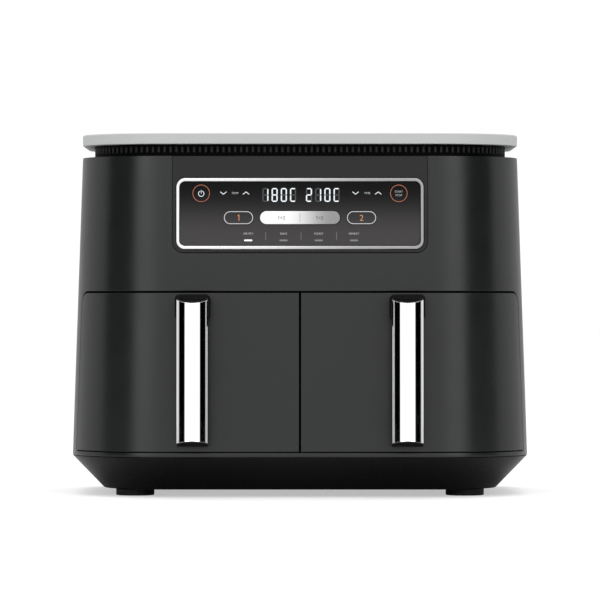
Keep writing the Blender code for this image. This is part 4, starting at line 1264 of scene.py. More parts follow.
    def key_outline(self, name: str, key: str, grow: float, face: float) -> Shaper:
        """A key's flat outline, grown or shrunk."""
        width, height = self.key_size(key)
        return pill_outline(name, self.keys()[key][0], width + 2 * grow, height + 2 * grow, face)

    def key_prism(self, name: str, key: str, grow: float, low: float, high: float) -> Shaper:
        """A key's outline, grown or shrunk, between two depths."""
        return self.key_outline(name, key, grow, low).extrude(0, 0, high - low)

    def lens_gloss_with_painted_reflection(self, name: str) -> bpy.types.Material:
        """Smoked gloss with a painted reflection: black at the top, paler towards the bottom.

        Args:
            name: the material's name.

        Returns:
            The material.
        """
        centre, half = self.form.low + self.middle, self.bezel[1] / 2
        start, end = centre - half + self.lens_reflection_margins[0], centre + half - self.lens_reflection_margins[1]
        return GlossWithPaintedReflection(name, tone(72, 70, 71), tone(9, 9, 10), start, end, specular=0.10).material()

    def lens(self) -> bpy.types.Object:
        """The lens, with an opening for each key.

        Returns:
            The piece.
        """
        piece = self.frame_prism("lens_sheet", self.bezel_ring + self.gap, self.back, self.lens_face).done()
        for key in self.keys():
            combine(piece, self.key_prism("opening", key, self.key_gap, -THROUGH, THROUGH).done())
        smooth(piece, 40, self.key_edge)
        finish = self.lens_gloss_with_painted_reflection("lens_smoked_painted_reflection")
        return dress(self.on_face(piece), finish, Slot.LENS, "housing", "display_lens")

    def ring(self, key: str, width: float, finish: bpy.types.Material, slot: Slot) -> bpy.types.Object:
        """The metal ring let into a key's edge.

        Args:
            key: the key's name.
            width: the ring's width.
            finish: its metal.
            slot: the record's slot for it.

        Returns:
            The piece.
        """
        shaper = self.key_outline(f"{key}_ring", key, -self.ring_inset, self.ring_proud)
        bpy.ops.mesh.inset(thickness=width, depth=0.0)
        bpy.ops.mesh.delete(type="FACE")
        shaper.pick(Pick.FACES, lambda f: True).extrude(0, 0, -self.ring_depth)
        piece = smooth(shaper.done(), 40)
        return dress(self.on_face(piece), finish, slot, f"{key}_body")

    def build_keys(self) -> None:
        """Caps, rings and the silver two-way key."""
        # the caps share the lens's painted reflection, paler towards the bottom
        glass = self.lens_gloss_with_painted_reflection("key_smoked_painted_reflection")
        copper = Metal("ring_copper", tone(188, 122, 98), 0.34).material()
        silver = Metal("ring_silver", tone(200, 200, 202), 0.26).material()
        looks = {
            "power_key": (self.round_ring, copper, Slot.COPPER),
            "start_key": (self.round_ring, copper, Slot.COPPER),
            "zone_key_left": (self.pill_ring, silver, Slot.SILVER),
            "zone_key_right": (self.pill_ring, silver, Slot.SILVER),
        }
        for key, (width, metal, slot) in looks.items():
            cap = self.key_prism(f"{key}_cap", key, 0.0, -self.key_depth, 0.0).done()
            smooth(cap, 40, self.key_edge)
            dress(self.on_face(cap), glass, slot, f"{key}_body", key)
            self.ring(key, width, metal, slot)
        cap = self.key_prism("sync_match_cap", "sync_match_key", 0.0, -self.key_depth, 0.0)
        piece = smooth(cap.done(), 40, self.sync_edge, 3)
        # painted reflection: the silver runs from white at the left to grey at the right
        tones = (tone(250, 250, 250), tone(150, 150, 151))
        satin = GlossWithPaintedReflection("pill_silver_painted_reflection", *tones, -0.020, 0.034, metallic=1.0, roughness=0.30, axis="X")
        dress(self.on_face(piece), satin.material(), Slot.SILVER, "sync_match_key_body", "sync_match_key")

    def bar(
        self, name: str, centre: tuple, size: tuple, face: float, pointed: bool = False
    ) -> bpy.types.Object:
        """A thin raised bar for prints.

        Args:
            name: the object's name.
            centre: its middle, across and up.
            size: its width and height.
            face: the depth that it lies on.
            pointed: gives it the pointed ends of a digit's stroke.

        Returns:
            The bar, in face coordinates.
        """
        thick = self.print_thick

        def through(edge: bmesh.types.BMEdge) -> bool:
            """Says whether an edge runs through the bar's thickness."""
            return abs(edge.verts[0].co.z - edge.verts[1].co.z) > thick / 2

        shaper = Shaper(name, "cube", (*size, thick), (*centre, face + thick / 2))
        if pointed:
            shaper.round_edges(min(size) * self.digit_point, 1, through)
        return shaper.done()

    def place_print(self, pieces: list, name: str, ink: Ink, body: str = "housing") -> bpy.types.Object:
        """Joins prints of one tone and puts them on the face."""
        piece = self.on_face(joined(pieces, name))
        return dress(piece, Glow(*ink.value).material(), Slot.DISPLAY, body)

    def word(self, text: str, centre: tuple, height: float, face: float) -> bpy.types.Object:
        """A plain word or number.

        Args:
            text: what it says.
            centre: its middle, across and up.
            height: its capitals' height.
            face: the depth that it lies on.

        Returns:
            The word as a mesh, in face coordinates.
        """
        bpy.ops.object.select_all(action="DESELECT")
        bpy.ops.object.text_add()
        label = bpy.context.active_object
        label.data.body = text
        label.data.size = height / CAPITAL
        label.data.extrude = self.print_thick / 2
        label.data.resolution_u = 4
        label.data.align_x = "CENTER"
        label.location = (centre[0], centre[1] - height / 2, face + self.print_thick / 2)
        bpy.context.view_layer.update()
        bpy.ops.object.convert(target="MESH")
        return settle(bpy.context.active_object)

    def arrow(self, centre: tuple, up: bool, face: float) -> list[bpy.types.Object]:
        """Two strokes that meet in a point.

        Args:
            centre: the arrow's middle, across and up.
            up: whether it points up.
            face: the depth that it lies on.

        Returns:
            The two strokes, in face coordinates.
        """
        made = []
        for _, sign in SIDES:
            arm = self.bar("arm", (0, 0), self.arrow_arm, face)
            tilt = math.radians(-self.arrow_tilt if up else self.arrow_tilt) * sign
            place = Matrix.Translation((centre[0] + sign * self.arrow_reach, centre[1], 0))
            made.append(settle(arm, place @ Matrix.Rotation(tilt, 4, "Z")))
        return made

    def numeral_one(self, centre: tuple, height: float, face: float) -> list[bpy.types.Object]:
        """A 1 drawn as an upright stroke with a slanting flag.

        Args:
            centre: its middle, across and up.
            height: its height.
            face: the depth that it lies on.

        Returns:
            The stroke and the flag, in face coordinates.
        """
        stroke, shift = height * 0.13, height * 0.08
        reach, back, rise, tilt = height * 0.32, height * 0.10, height * 0.37, math.radians(40)
        x, y = centre[0] + shift, centre[1]
        stem = self.bar("stem", (x, y), (stroke, height), face)
        flag = self.bar("flag", (0, 0), (reach, stroke), face)
        place = Matrix.Translation((x - back, y + rise, 0))
        return [stem, settle(flag, place @ Matrix.Rotation(tilt, 4, "Z"))]

    def digits(self) -> None:
        """Two groups of four digits; strokes that are off show as ghosts."""
        half_x, half_y = self.digit[0] / 2, self.digit[1] / 2
        y0 = self.middle + self.digit_rise
        lit, ghost = [], []
        for (_, sign), text in zip(SIDES, ("180C", "210C")):
            for place, mark in enumerate(text):
                x0 = sign * self.digit_group + self.print_shift + (place - 1.5) * self.digit_pitch
                for segment in Segment:
                    across, up, is_flat = segment.value
                    length = (self.digit[0] if is_flat else half_y) - self.digit_gap
                    size = (length, self.digit_stroke) if is_flat else (self.digit_stroke, length)
                    centre = (x0 + across * half_x, y0 + up * half_y)
                    stroke = self.bar("stroke", centre, size, self.lens_face, pointed=True)
                    (lit if segment in DIGITS[mark] else ghost).append(stroke)
        self.place_print(lit, "digits_lit", Ink.WHITE)
        self.place_print(ghost, "digits_ghost", Ink.GHOST)

    def prints(self) -> None:
        """Arrows, words, separators and lamps."""
        face, height = self.lens_face, self.word_height
        row = self.middle + self.key_rise + self.print_rise
        arrows = []
        for x, up in ARROWS.items():
            arrows += self.arrow((x, row), up, face)
        self.place_print(arrows, "arrows", Ink.WHITE)
        words = [self.word(text, (x, row), height, face) for text, x in CAPTIONS.items()]
        low = self.middle - self.row_drop
        for text, x in FUNCTIONS.items():
            words.append(self.word(text, (x, low + self.function_rise), height, face))
        self.place_print(words, "panel_words", Ink.SOFT)
        places = [(x + self.print_shift, low + self.separator_rise) for x in SEPARATORS]
        lines = [self.bar("line", place, self.separator, face) for place in places]
        self.place_print(lines, "separators", Ink.DIM)
        for number, x in enumerate(FUNCTIONS.values()):
            lamp = pill_prism("lamp", (x, low), *self.lamp, face, face + self.lamp_thick).done()
            self.place_print([lamp], f"lamp_{number + 1}", Ink.DIM if number else Ink.LAMP)

    def power_icon(self) -> list[bpy.types.Object]:
        """An open circle with an upright stroke in its gap.

        Returns:
            The circle and the stroke, in face coordinates.
        """
        (x, y), _ = self.keys()["power_key"]
        (outer, inner), middle = self.icon_widths, (x, y - self.icon_drop)
        circle = pill_prism("power_icon", middle, outer, outer, 0.0, self.lamp_thick).done()
        combine(circle, pill_prism("hole", middle, inner, inner, -THROUGH, THROUGH).done())
        gap = Shaper("gap", "cube", (*self.icon_gap, THROUGH), (x, y + self.icon_gap_rise, 0))
        combine(circle, gap.done())
        return [circle, self.bar("stem", (x, y + self.icon_stem_rise), self.icon_stem, 0.0)]

    def key_marks(self) -> None:
        """The marks on the keys: icon, words and numerals."""
        keys = self.keys()
        self.place_print(self.power_icon(), "power_icon", Ink.WHITE, "power_key_body")
        (x, y), _ = keys["start_key"]
        rows = (("START", self.start_spread), ("STOP", -self.start_spread))
        words = [self.word(text, (x, y + rise), self.start_word, 0.0) for text, rise in rows]
        self.place_print(words, "start_words", Ink.SOFT, "start_key_body")
        numerals = {
            "left": self.numeral_one(keys["zone_key_left"][0], self.numeral, 0.0),
            "right": [self.word("2", keys["zone_key_right"][0], self.numeral, 0.0)],
        }
        for side, marks in numerals.items():
            self.place_print(marks, f"zone_numeral_{side}", Ink.AMBER, f"zone_key_{side}_body")
        (x, y), _ = keys["sync_match_key"]
        width, share = self.sync_line
        marks = [self.bar("line", (x, y), (width, self.pill_height * share), 0.0)]
        for text, place in SYNC_MARKS.items():
            marks += self.numeral_one((x + place + self.sync_one, y), self.sync_numeral, 0.0)
            marks.append(self.word(text, (x + place + self.sync_rest, y), self.sync_numeral, 0.0))
        dark = MouldedPlastic("mark_dark", tone(30, 30, 32), 0.6, 0.2).material()
        dress(self.on_face(joined(marks, "sync_match_marks")), dark, Slot.TRIM, "sync_match_key_body")

    def build(self) -> None:
        """Builds the whole panel."""
        self.fascia()
        self.bezel_piece()
        self.lens()
        self.build_keys()
        self.digits()
        self.prints()
        self.key_marks()


# ---- drawers ------------------------------------------------------------------------------------


@dataclass
class Drawer:
    """One drawer: front, handle, basket and crisper plate.

    The handle's sizes are in face coordinates: up from the housing's lower edge, and out from the front.
    """

    form: BodyForm
    side: str
    sign: int
    wall: float = 0.003
    seam: float = 0.0008
    gap: float = 0.0003
    front_edge: float = 0.0005
    wrap_corner: float = 0.011
    handle_width: float = 0.0278
    handle_reach: float = 0.045
    handle_thickness: float = 0.019
    handle_foot: float = 0.0140
    handle_top: float = 0.1358
    handle_edge: float = 0.0008
    bulge: float = 0.007
    cover_wall: float = 0.0015
    cover_wrap: float = 0.010
    cover_edge: float = 0.0001
    nose_root: float = 0.002
    lower_slope: float = 0.24
    upper_slope: float = 0.43
    neck: tuple[float, float] = (0.0312, 0.0235)
    neck_top: float = 0.1443
    neck_overlap: float = 0.008
    neck_corner: float = 0.0045
    neck_edge: float = 0.0012
    basket_radius: float = 0.038
    basket_wall: float = 0.002
    basket_heel: float = 0.006
    basket_inner_heel: float = 0.0042
    basket_edge: float = 0.0007
    plate_thickness: float = 0.002
    plate_corner: float = 0.034
    plate_edge: float = 0.0005
    eye: float = 0.018
    slot: tuple[float, float] = (0.018, 0.0044)
    slot_rings: tuple[float, float] = (0.028, 0.054)
    slots_per_ring: int = 10
    corner_slots: tuple[float, float] = (0.052, 0.088)
    corner_steps: tuple[float, float, float] = (0.0, 0.016, 0.032)
    corner_lean: float = 0.2
    corner_tilt: float = 38.0
    leg: float = 0.009
    leg_inset: float = 0.022
    leg_root: float = 0.001
    bumper: tuple[float, float, float] = (0.004, 0.022, 0.006)
    bumper_edge: float = 0.0012
    bumper_inset: float = 0.0012

    @property
    def body(self) -> str:
        """The body that everything but the crisper plate rides on."""
        return f"drawer_{self.side}"

    def envelope(self, low: Vector, high: Vector) -> bpy.types.Object:
        """The front's side view, from the centre seam outwards, with its rounded rear top corner.

        Args:
            low: the front's lowest corner.
            high: the front's highest corner.

        Returns:
            The block that bounds the front.
        """
        rear, reach = high.y, self.form.half + 10 * THROUGH
        front = self.form.front - 10 * THROUGH
        size = (reach - self.seam, rear - front, high.z - low.z)
        centre = (self.sign * (self.seam + reach) / 2, (front + rear) / 2, (low.z + high.z) / 2)
        shaper = Shaper("envelope", "cube", size, centre)
        return shaper.round_edges(self.wrap_corner, 10, on_rear_edge(rear, high.z)).done()

    def front(self) -> bpy.types.Object:
        """The cup that follows the body, open to the rear and above the basket.

        Returns:
            The piece.
        """
        form, wall = self.form, self.wall
        low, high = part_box(f"drawer_front_{self.side}")
        piece = form.solid(f"drawer_shell_{self.side}", low.z, high.z)
        hollow = form.solid("hollow", low.z + wall, high.z - wall, wall)
        reach = form.half + 10 * THROUGH
        middle = self.sign * (self.seam + wall + reach / 2)
        half_box = Shaper("half", "cube", (reach, 1.0, 1.0), (middle, 0, 0)).done()
        combine(hollow, half_box, "INTERSECT")
        combine(piece, hollow)
        combine(piece, self.envelope(low, high), "INTERSECT")
        combine(piece, self.basket_prism("mouth", -self.gap, high.z - 2 * wall, high.z + wall).done())
        smooth(piece, 30, self.front_edge, 3)
        finish = MouldedPlastic(f"drawer_satin_{self.side}", SHELL_TONE, SHELL_ROUGHNESS)
        return dress(piece, finish.material(), Slot.SHELL, self.body, f"drawer_front_{self.side}")

    def handle_x(self) -> float:
        """The handle's middle."""
        low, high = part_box(f"handle_cover_{self.side}")
        return (low.x + high.x) / 2

    def bar_solid(self, name: str, pull: float, near: float, far: float) -> bpy.types.Object:
        """The handle's section, convex in front, longer than the handle at both ends.

        Args:
            name: the object's name.
            pull: how far its sides and front are pulled in.
            near: how far out it starts.
            far: how far out it ends, at most.

        Returns:
            The bar, in face coordinates.
        """
        half = self.handle_width / 2
        radius = (half**2 + self.bulge**2) / (2 * self.bulge)
        bottom, top = self.handle_foot - 2 * THROUGH, self.handle_top + 3 * THROUGH
        x, y, long = self.handle_x(), (bottom + top) / 2, top - bottom
        block_size = (2 * (half - pull), long, far - near)
        block = Shaper(name, "cube", block_size, (x, y, (far + near) / 2)).done()
        width = 2 * (radius - pull)
        roller_size = (width, width, long + THROUGH)
        roller = Shaper("roller", "cylinder", roller_size, (0, 0, 0), vertices=192).done()
        place = Matrix.Translation((x, y, self.handle_reach - radius))
        combine(block, settle(roller, place @ Matrix.Rotation(math.pi / 2, 4, "X")), "INTERSECT")
        return block

    def slant(self, obj: bpy.types.Object) -> None:
        """Cuts both ends so that they slope away from the front edge.

        Args:
            obj: the bar to cut.
        """
        bpy.ops.object.select_all(action="DESELECT")
        obj.select_set(True)
        bpy.context.view_layer.objects.active = obj
        bpy.ops.object.mode_set(mode="EDIT")
        ends = ((self.handle_top, self.upper_slope, 1), (self.handle_foot, -self.lower_slope, -1))
        for height, slope, way in ends:
            bpy.ops.mesh.select_all(action="SELECT")
            spot, normal = (0, height, self.handle_reach), Vector((0, way, way * slope)).normalized()
            bpy.ops.mesh.bisect(plane_co=spot, plane_no=normal, use_fill=True, clear_outer=True)
        bpy.ops.mesh.select_all(action="SELECT")
        bpy.ops.mesh.normals_make_consistent(inside=False)
        bpy.ops.object.mode_set(mode="OBJECT")

    def handle_cover(self) -> bpy.types.Object:
        """The bright cover: a thin wall with a convex front.

        Returns:
            The piece.
        """
        rear = self.handle_reach - self.cover_wrap
        cover = self.bar_solid(f"handle_skin_{self.side}", 0.0, rear, self.handle_reach)
        combine(cover, self.bar_solid("inside", self.cover_wall, rear - THROUGH, self.handle_reach))
        self.slant(cover)
        smooth(cover, 40, self.cover_edge, 2)
        settle(cover, self.form.face_matrix())
        chrome = Metal(f"handle_chrome_{self.side}", tone(248, 248, 250), 0.045, stain=0.008)
        return dress(cover, chrome.material(), Slot.CHROME, self.body, f"handle_cover_{self.side}")

    def handle_core(self) -> bpy.types.Object:
        """The black core that fills the cover, and the neck that joins it to the front.

        Returns:
            The piece.
        """
        seat = self.handle_reach - self.cover_wrap
        rear = self.handle_reach - self.handle_thickness
        core = self.bar_solid(f"handle_bar_{self.side}", 0.0, rear, seat - self.gap)
        nose = self.bar_solid("nose", self.cover_wall + self.gap, seat - self.nose_root, self.handle_reach)
        combine(core, nose, "UNION")
        self.slant(core)
        smooth(core, 35, self.handle_edge, 3)
        x, (width, height) = self.handle_x(), self.neck
        low = (x - width / 2, self.neck_top - height, self.gap)
        high = (x + width / 2, self.neck_top, rear + self.neck_overlap)
        neck = rounded_prism("neck", low, high, self.neck_corner, 8)
        neck.round_edges(self.neck_edge, 3, at_z(high[2]))
        combine(core, neck.done(), "UNION")
        smooth(core, 35)
        settle(core, self.form.face_matrix())
        black = MouldedPlastic(f"handle_black_{self.side}", tone(5, 5, 5), 0.34, 0.10)
        return dress(core, black.material(), Slot.TRIM, self.body, f"handle_core_{self.side}")

    def basket_prism(self, name: str, inset: float, low: float, high: float) -> Shaper:
        """The basket's rounded outline between two heights.

        Args:
            name: the object's name.
            inset: how far it is pulled in.
            low: the lower height.
            high: the upper height.

        Returns:
            The shaper, with the upper face selected.
        """
        box_low, box_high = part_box(f"basket_{self.side}")
        corner_low = (box_low.x + inset, box_low.y + inset, low)
        corner_high = (box_high.x - inset, box_high.y - inset, high)
        return rounded_prism(name, corner_low, corner_high, self.basket_radius - inset, 20)

    def basket(self) -> bpy.types.Object:
        """A deep drawn pan with a rounded floor edge and rim.

        Returns:
            The piece.
        """
        low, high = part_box(f"basket_{self.side}")
        wall = self.basket_wall
        outer = self.basket_prism(f"basket_pan_{self.side}", 0.0, low.z, high.z)
        piece = outer.round_edges(self.basket_heel, 6, at_z(low.z)).done()
        inner = self.basket_prism("inner", wall, low.z + wall, high.z + THROUGH)
        inner.round_edges(self.basket_inner_heel, 6, at_z(low.z + wall))
        combine(piece, inner.done())
        smooth(piece, 40, self.basket_edge, 3)
        finish = SpeckledCoat(f"basket_coat_{self.side}", tone(36, 36, 38), tone(84, 84, 86))
        return dress(piece, finish.material(), Slot.NONSTICK, self.body, f"basket_{self.side}")

    def pierce(self, plate: bpy.types.Object, centre: Vector, low: float, high: float) -> None:
        """Cuts the plate's eye, two rings of slots round it and a short row of slots in each corner.

        Args:
            plate: the plate to cut.
            centre: its middle in X and Y.
            low: the tools' lower end.
            high: the tools' upper end.
        """
        combine(plate, pill_prism("eye", centre, self.eye, self.eye, low, high).done())
        slot = pill_prism("slot", (0, 0), *self.slot, low, high).done()
        middle = Matrix.Translation((*centre, 0))
        for ring, reach in enumerate(self.slot_rings):
            tools = []
            for i in range(self.slots_per_ring):
                turn = Matrix.Rotation(2 * math.pi * (i + ring / 2) / self.slots_per_ring, 4, "Z")
                tools.append(copied(slot, "slot_copy", middle @ turn @ Matrix.Translation((reach, 0, 0))))
            combine(plate, joined(tools, "slots"))
        reach_x, reach_y = self.corner_slots
        for x, y in CORNERS:
            turn = Matrix.Rotation(math.radians(-self.corner_tilt * x * y), 4, "Z")
            for step in self.corner_steps:
                across, along = reach_x - step * self.corner_lean, reach_y - step
                place = (centre.x + x * across, centre.y + y * along, 0)
                combine(plate, copied(slot, "slot_copy", Matrix.Translation(place) @ turn))
        bpy.data.objects.remove(slot, do_unlink=True)

    def crisper(self) -> bpy.types.Object:
        """The slotted plate with its four legs.

        Returns:
            The piece.
        """
        name = f"crisper_plate_{self.side}"
        low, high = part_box(name)
        centre, half = ((low + high) / 2).xy, ((high - low) / 2).xy
        floor = high.z - self.plate_thickness
        low_corner = (low.x, low.y, floor)
        shaper = rounded_prism(f"crisper_tray_{self.side}", low_corner, tuple(high), self.plate_corner, 16)
        piece = shaper.done()
        self.pierce(piece, centre, floor - THROUGH, high.z + THROUGH)
        for x, y in CORNERS:
            spot = (centre.x + x * (half.x - self.leg_inset), centre.y + y * (half.y - self.leg_inset))
            top = floor + self.leg_root
            size = (self.leg, self.leg, top - low.z)
            leg = Shaper("leg", "cylinder", size, (*spot, (low.z + top) / 2), vertices=32)
            combine(piece, leg.done(), "UNION")
        smooth(piece, 40, self.plate_edge)
        finish = SpeckledCoat(f"crisper_coat_{self.side}", tone(40, 40, 42), tone(92, 92, 94))
        return dress(piece, finish.material(), Slot.NONSTICK, f"crisper_{self.side}", name)

    def bumpers(self) -> bpy.types.Object:
        """A soft bumper in the middle of each of the plate's edges.

        Returns:
            The four bumpers as one piece.
        """
        low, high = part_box(f"crisper_plate_{self.side}")
        centre, half = (low + high) / 2, (high - low) / 2
        thin, long, tall = self.bumper
        pads = []
        for x, y in ((-1, 0), (1, 0), (0, -1), (0, 1)):
            spot = (centre.x + x * (half.x - self.bumper_inset), centre.y + y * (half.y - self.bumper_inset))
            size = (thin if x else long, thin if y else long, tall)
            pad = Shaper("pad", "cube", size, (*spot, high.z - self.plate_thickness / 2))
            pads.append(smooth(pad.round_edges(self.bumper_edge, 3, lambda e: True).done(), 40))
        rubber = MouldedPlastic(f"bumper_rubber_{self.side}", tone(18, 18, 18), 0.7, 0.3)
        piece = joined(pads, f"crisper_bumpers_{self.side}")
        return dress(piece, rubber.material(), Slot.RUBBER, f"crisper_{self.side}")

    def build(self) -> None:
        """Builds every piece of the drawer."""
        self.front()
        self.handle_cover()
        self.handle_core()
        self.basket()
        self.crisper()
        self.bumpers()


# ---- rear and inside ----------------------------------------------------------------------------


@dataclass
class Rear:
    """The rear cover with its louvres."""

    casing: Casing
    thickness: float = 0.0016
    corner: float = 0.008
    edge: float = 0.0003
    louvre: tuple[float, float] = (0.0820, 0.0036)
    louvre_place: float = 0.47
    pitch: float = 0.010
    rows: int = 7
    hood: tuple[float, float] = (0.0008, 0.0030)
    hood_depth: float = 0.0014
    hood_tilt: float = 40.0
    gland_hole: float = 0.0166
    screw_hole: float = 0.0046

    def build(self) -> None:
        """A thin plate with two banks of slots; each slot has a small hood behind it."""
        form = self.casing.form
        (x0, y0), (x1, y1) = self.casing.rear_cover_span()
        piece = rounded_prism("rear_panel", (x0, y0, -self.thickness), (x1, y1, 0.0), self.corner, 10).done()
        slot = pill_prism("slot", (0, 0), *self.louvre, -THROUGH, THROUGH).done()
        hood = Shaper("hood", "cube", (self.louvre[0], *self.hood), (0, 0, -self.hood_depth)).done()
        tilt = Matrix.Rotation(math.radians(-self.hood_tilt), 4, "X")
        hoods, slots = [], []
        for _, sign in SIDES:
            for row in range(self.rows):
                height = (y0 + y1) / 2 + (row + 0.5) * self.pitch
                place = Matrix.Translation((sign * x1 * self.louvre_place, height, 0))
                slots.append(copied(slot, "slot_copy", place))
                hoods.append(copied(hood, "hood_copy", place @ tilt))
        for tool in (slot, hood):
            bpy.data.objects.remove(tool, do_unlink=True)
        combine(piece, joined(slots, "slots"))
        holes = {"cord_gland": self.gland_hole}
        for side, _ in SIDES:
            holes[f"rear_screw_{side}"] = self.screw_hole
        for node, width in holes.items():
            low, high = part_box(node)
            place = (-(low.x + high.x) / 2, form.up_face((low.z + high.z) / 2))
            combine(piece, pill_prism("hole", place, width, width, -THROUGH, THROUGH).done())
        smooth(piece, 40, self.edge)
        face = form.rear_matrix()
        finish = MouldedPlastic("rear_black", tone(17, 17, 18), 0.5, 0.35, 0.00004)
        dress(settle(piece, face), finish.material(), Slot.TRIM, "housing", "rear_cover")
        dress(settle(joined(hoods, "louvre_slats"), face), finish.material(), Slot.TRIM, "housing")


class Inside:
    """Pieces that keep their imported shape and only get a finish."""

    FINISHES = {
        Slot.TRIM: MouldedPlastic("trim_black", tone(18, 18, 19), 0.5, 0.35),
        Slot.BOARD: MouldedPlastic("board_green", tone(22, 70, 44), 0.42, 0.5, 0.00002, 0.15),
        Slot.DISPLAY: MouldedPlastic("display_white", tone(205, 210, 214), 0.5, 0.4),
        Slot.STEEL: Metal("liner_brushed", tone(166, 166, 164), 0.34, (1, 60, 60), 0.08),
        Slot.HEATER: Metal("heater_tinted", tone(112, 104, 98), 0.42, None, 0.25),
        Slot.MOTOR: Metal("motor_zinc", tone(158, 158, 160), 0.38, None, 0.10),
        Slot.SCREW: Metal("screw_zinc", tone(150, 150, 154), 0.30, None, 0.08),
    }
    NODES = {
        Slot.TRIM: (
            "top_deck",
            "cord_gland",
            "front_surround",
            "drawer_frame",
            "drawer_switch",
            "cooling_fan",
        ),
        Slot.BOARD: ("control_board", "power_board"),
        Slot.DISPLAY: ("display_module",),
        Slot.STEEL: ("cavity_liner", "reflector", "guard_grille", "hot_fan"),
        Slot.HEATER: ("heater",),
        Slot.MOTOR: ("motor", "fan_shaft", "temp_sensor"),
        Slot.SCREW: ("rear_screw", "handle_screw"),
    }

    def build(self) -> None:
        """Gives every kept piece its finish."""
        for slot, names in self.NODES.items():
            finish = self.FINISHES[slot].material()
            for name in names:
                for node in (name, f"{name}_left", f"{name}_right"):
                    obj = bpy.data.objects.get(node)
                    if obj:
                        obj.data.materials.clear()
                        obj.data.materials.append(finish)
                        log.info("%s keeps its shape and gets %s", node, finish.name)


# ---- studio -------------------------------------------------------------------------------------


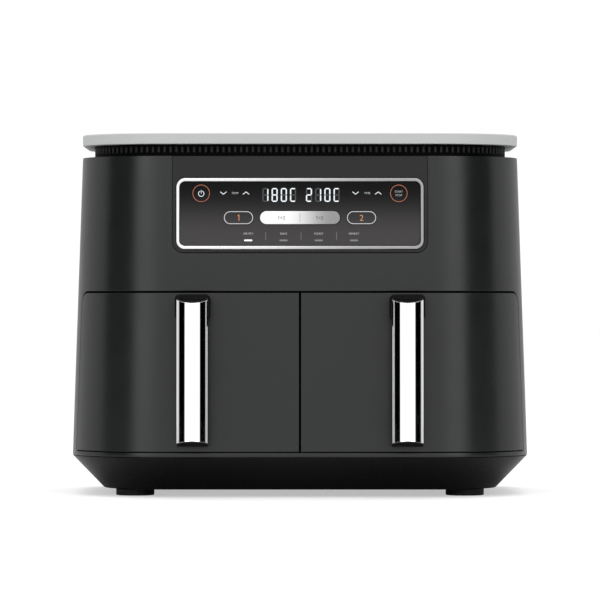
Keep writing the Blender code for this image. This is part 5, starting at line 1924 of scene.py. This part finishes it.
@dataclass
class Studio:
    """Pale floor, soft light all round and the camera."""

    distance: float = 4.0
    eye_height: float = 0.1758
    lens: float = 270.0
    floor_size: float = 60.0
    floor_lit: float = 196
    floor_seen: float = 248
    floor_glow: float = 1.18
    floor_glow_share: float = 0.42
    around: tuple[tuple[float, float], ...] = (  # degrees from dead ahead, and the light's strength there
        (0, 1.14),
        (12, 1.2),
        (20, 1.6),
        (28, 1.95),
        (38, 1.9),
        (48, 0.0),
        (82, 0.0),
        (90, 0.75),
        (110, 0.8),
        (150, 0.6),
        (180, 0.6),
    )
    overhead: float = 1.3
    overhead_from: tuple[float, float] = (0.62, 0.80)
    backdrop: float = 1.05
    top_power: float = 46.0

    def camera(self, front: float) -> None:
        """A long lens at the height of the drawers, level and dead ahead.

        Args:
            front: the body's front plane.
        """
        data = bpy.data.cameras.new("camera")
        data.lens = self.lens
        data.sensor_width = 36.0
        data.clip_end = self.floor_size
        obj = bpy.data.objects.new("camera", data)
        obj.location = (0, front - self.distance, self.eye_height)
        obj.rotation_euler = (math.pi / 2, 0, 0)
        bpy.context.scene.collection.objects.link(obj)
        bpy.context.scene.camera = obj

    def floor(self) -> None:
        """A wide pale floor that looks brighter than the light it throws back."""
        bpy.ops.object.select_all(action="DESELECT")
        bpy.ops.mesh.primitive_plane_add(size=self.floor_size)
        floor = bpy.context.active_object
        floor.name = "floor"
        board = NodeBoard("floor_white")
        board.shader.inputs["Specular IOR Level"].default_value = 0.1
        board.shader.inputs["Roughness"].default_value = 0.6
        seen = board.add("ShaderNodeLightPath").outputs["Is Camera Ray"]
        lit_tone, seen_tone = tone(*(self.floor_lit,) * 3), tone(*(self.floor_seen,) * 3)
        board.link(board.blend(seen, lit_tone, seen_tone), board.shader.inputs["Base Color"])
        glow = board.add("ShaderNodeEmission")
        glow_tone = board.blend(board.noise(scale=3), tone(249, 249, 249), tone(251, 251, 251))
        board.link(glow_tone, glow.inputs["Color"])
        glow.inputs["Strength"].default_value = self.floor_glow
        share = board.add("ShaderNodeMath", operation="MULTIPLY")
        board.link(seen, share.inputs[0])
        share.inputs[1].default_value = self.floor_glow_share
        mix = board.add("ShaderNodeMixShader")
        for source, target in zip((share, board.shader, glow), mix.inputs):
            board.link(source.outputs[0], target)
        board.link(mix.outputs[0], board.tree.nodes["Material Output"].inputs["Surface"])
        floor.data.materials.append(board.material)

    def surroundings(self) -> None:
        """White to the camera; to the object, soft boxes ahead, dark flags beside them, white behind."""
        world = bpy.data.worlds.new("studio")
        bpy.context.scene.world = world
        world.use_nodes = True
        tree = world.node_tree
        tree.nodes.clear()

        def node(kind: str, *sources: object, **settings: object) -> bpy.types.Node:
            """Adds a node.

            Args:
                kind: the node's type.
                sources: what each of its inputs takes, a socket, a number or None, in their order.
                settings: its properties and their values.

            Returns:
                The new node.
            """
            made = tree.nodes.new(kind)
            for key, value in settings.items():
                setattr(made, key, value)
            for socket, value in zip(made.inputs, sources):
                if isinstance(value, bpy.types.NodeSocket):
                    tree.links.new(value, socket)
                elif value is not None:
                    socket.default_value = value
            return made

        def maths(operation: str, *values: object) -> bpy.types.NodeSocket:
            """The result of a sum on sockets or numbers."""
            return node("ShaderNodeMath", *values, operation=operation).outputs[0]

        direction = node("ShaderNodeTexCoord").outputs["Generated"]
        x, y, z = node("ShaderNodeSeparateXYZ", direction).outputs
        turn = maths("ABSOLUTE", maths("ARCTAN2", x, maths("MULTIPLY", y, -1.0)))
        ramp = node("ShaderNodeValToRGB", maths("DIVIDE", turn, math.pi))
        elements = ramp.color_ramp.elements
        while len(elements) < len(self.around):
            elements.new(0.5)
        for element, (degrees, level) in zip(elements, self.around):
            element.position = degrees / 180
            element.color = (level, level, level, 1)
        above = node("ShaderNodeMapRange", z, *self.overhead_from, interpolation_type="SMOOTHSTEP")
        mix = node("ShaderNodeMix", above.outputs[0], None, ramp.outputs[0], self.overhead, data_type="FLOAT")
        white = (1, 1, 1, 1)
        seen = node("ShaderNodeBackground", white, self.backdrop)
        lit = node("ShaderNodeBackground", white, mix.outputs[0])
        is_seen = node("ShaderNodeLightPath").outputs["Is Camera Ray"]
        chooser = node("ShaderNodeMixShader", is_seen, lit.outputs[0], seen.outputs[0])
        node("ShaderNodeOutputWorld", chooser.outputs[0])

    def soft_box(self, name: str, place: tuple, aim: tuple, size: tuple, power: float) -> None:
        """One rectangular light that the camera doesn't see.

        Args:
            name: the light's name.
            place: where it hangs.
            aim: the point that it faces.
            size: its two sides.
            power: its power in watts.
        """
        data = bpy.data.lights.new(name, "AREA")
        data.shape = "RECTANGLE"
        data.size, data.size_y = size
        data.energy = power
        obj = bpy.data.objects.new(name, data)
        obj.location = place
        obj.rotation_euler = (Vector(aim) - Vector(place)).to_track_quat("-Z", "Y").to_euler()
        obj.visible_camera = False
        bpy.context.scene.collection.objects.link(obj)

    def build(self, form: BodyForm) -> None:
        """Sets up the whole studio.

        Args:
            form: the body that the camera faces.
        """
        bpy.context.scene.view_settings.view_transform = "Standard"
        self.camera(form.front)
        self.floor()
        self.surroundings()
        self.soft_box("top_light", (0, 0.2, 2.6), (0, 0, 0), (2.6, 2.2), self.top_power)


def main() -> None:
    """Builds the pieces in order."""
    logging.basicConfig(level=logging.INFO, format="%(name)s: %(message)s")
    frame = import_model()
    log.info("%d packed nodes are loaded", len(frame["nodes"]))
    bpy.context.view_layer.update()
    form = BodyForm.read()
    Studio().build(form)
    casing = Casing(form)
    casing.build()
    ControlPanel(form).build()
    for side, sign in SIDES:
        Drawer(form, side, sign).build()
    Rear(casing).build()
    Inside().build()


if __name__ == "__main__":
    main()
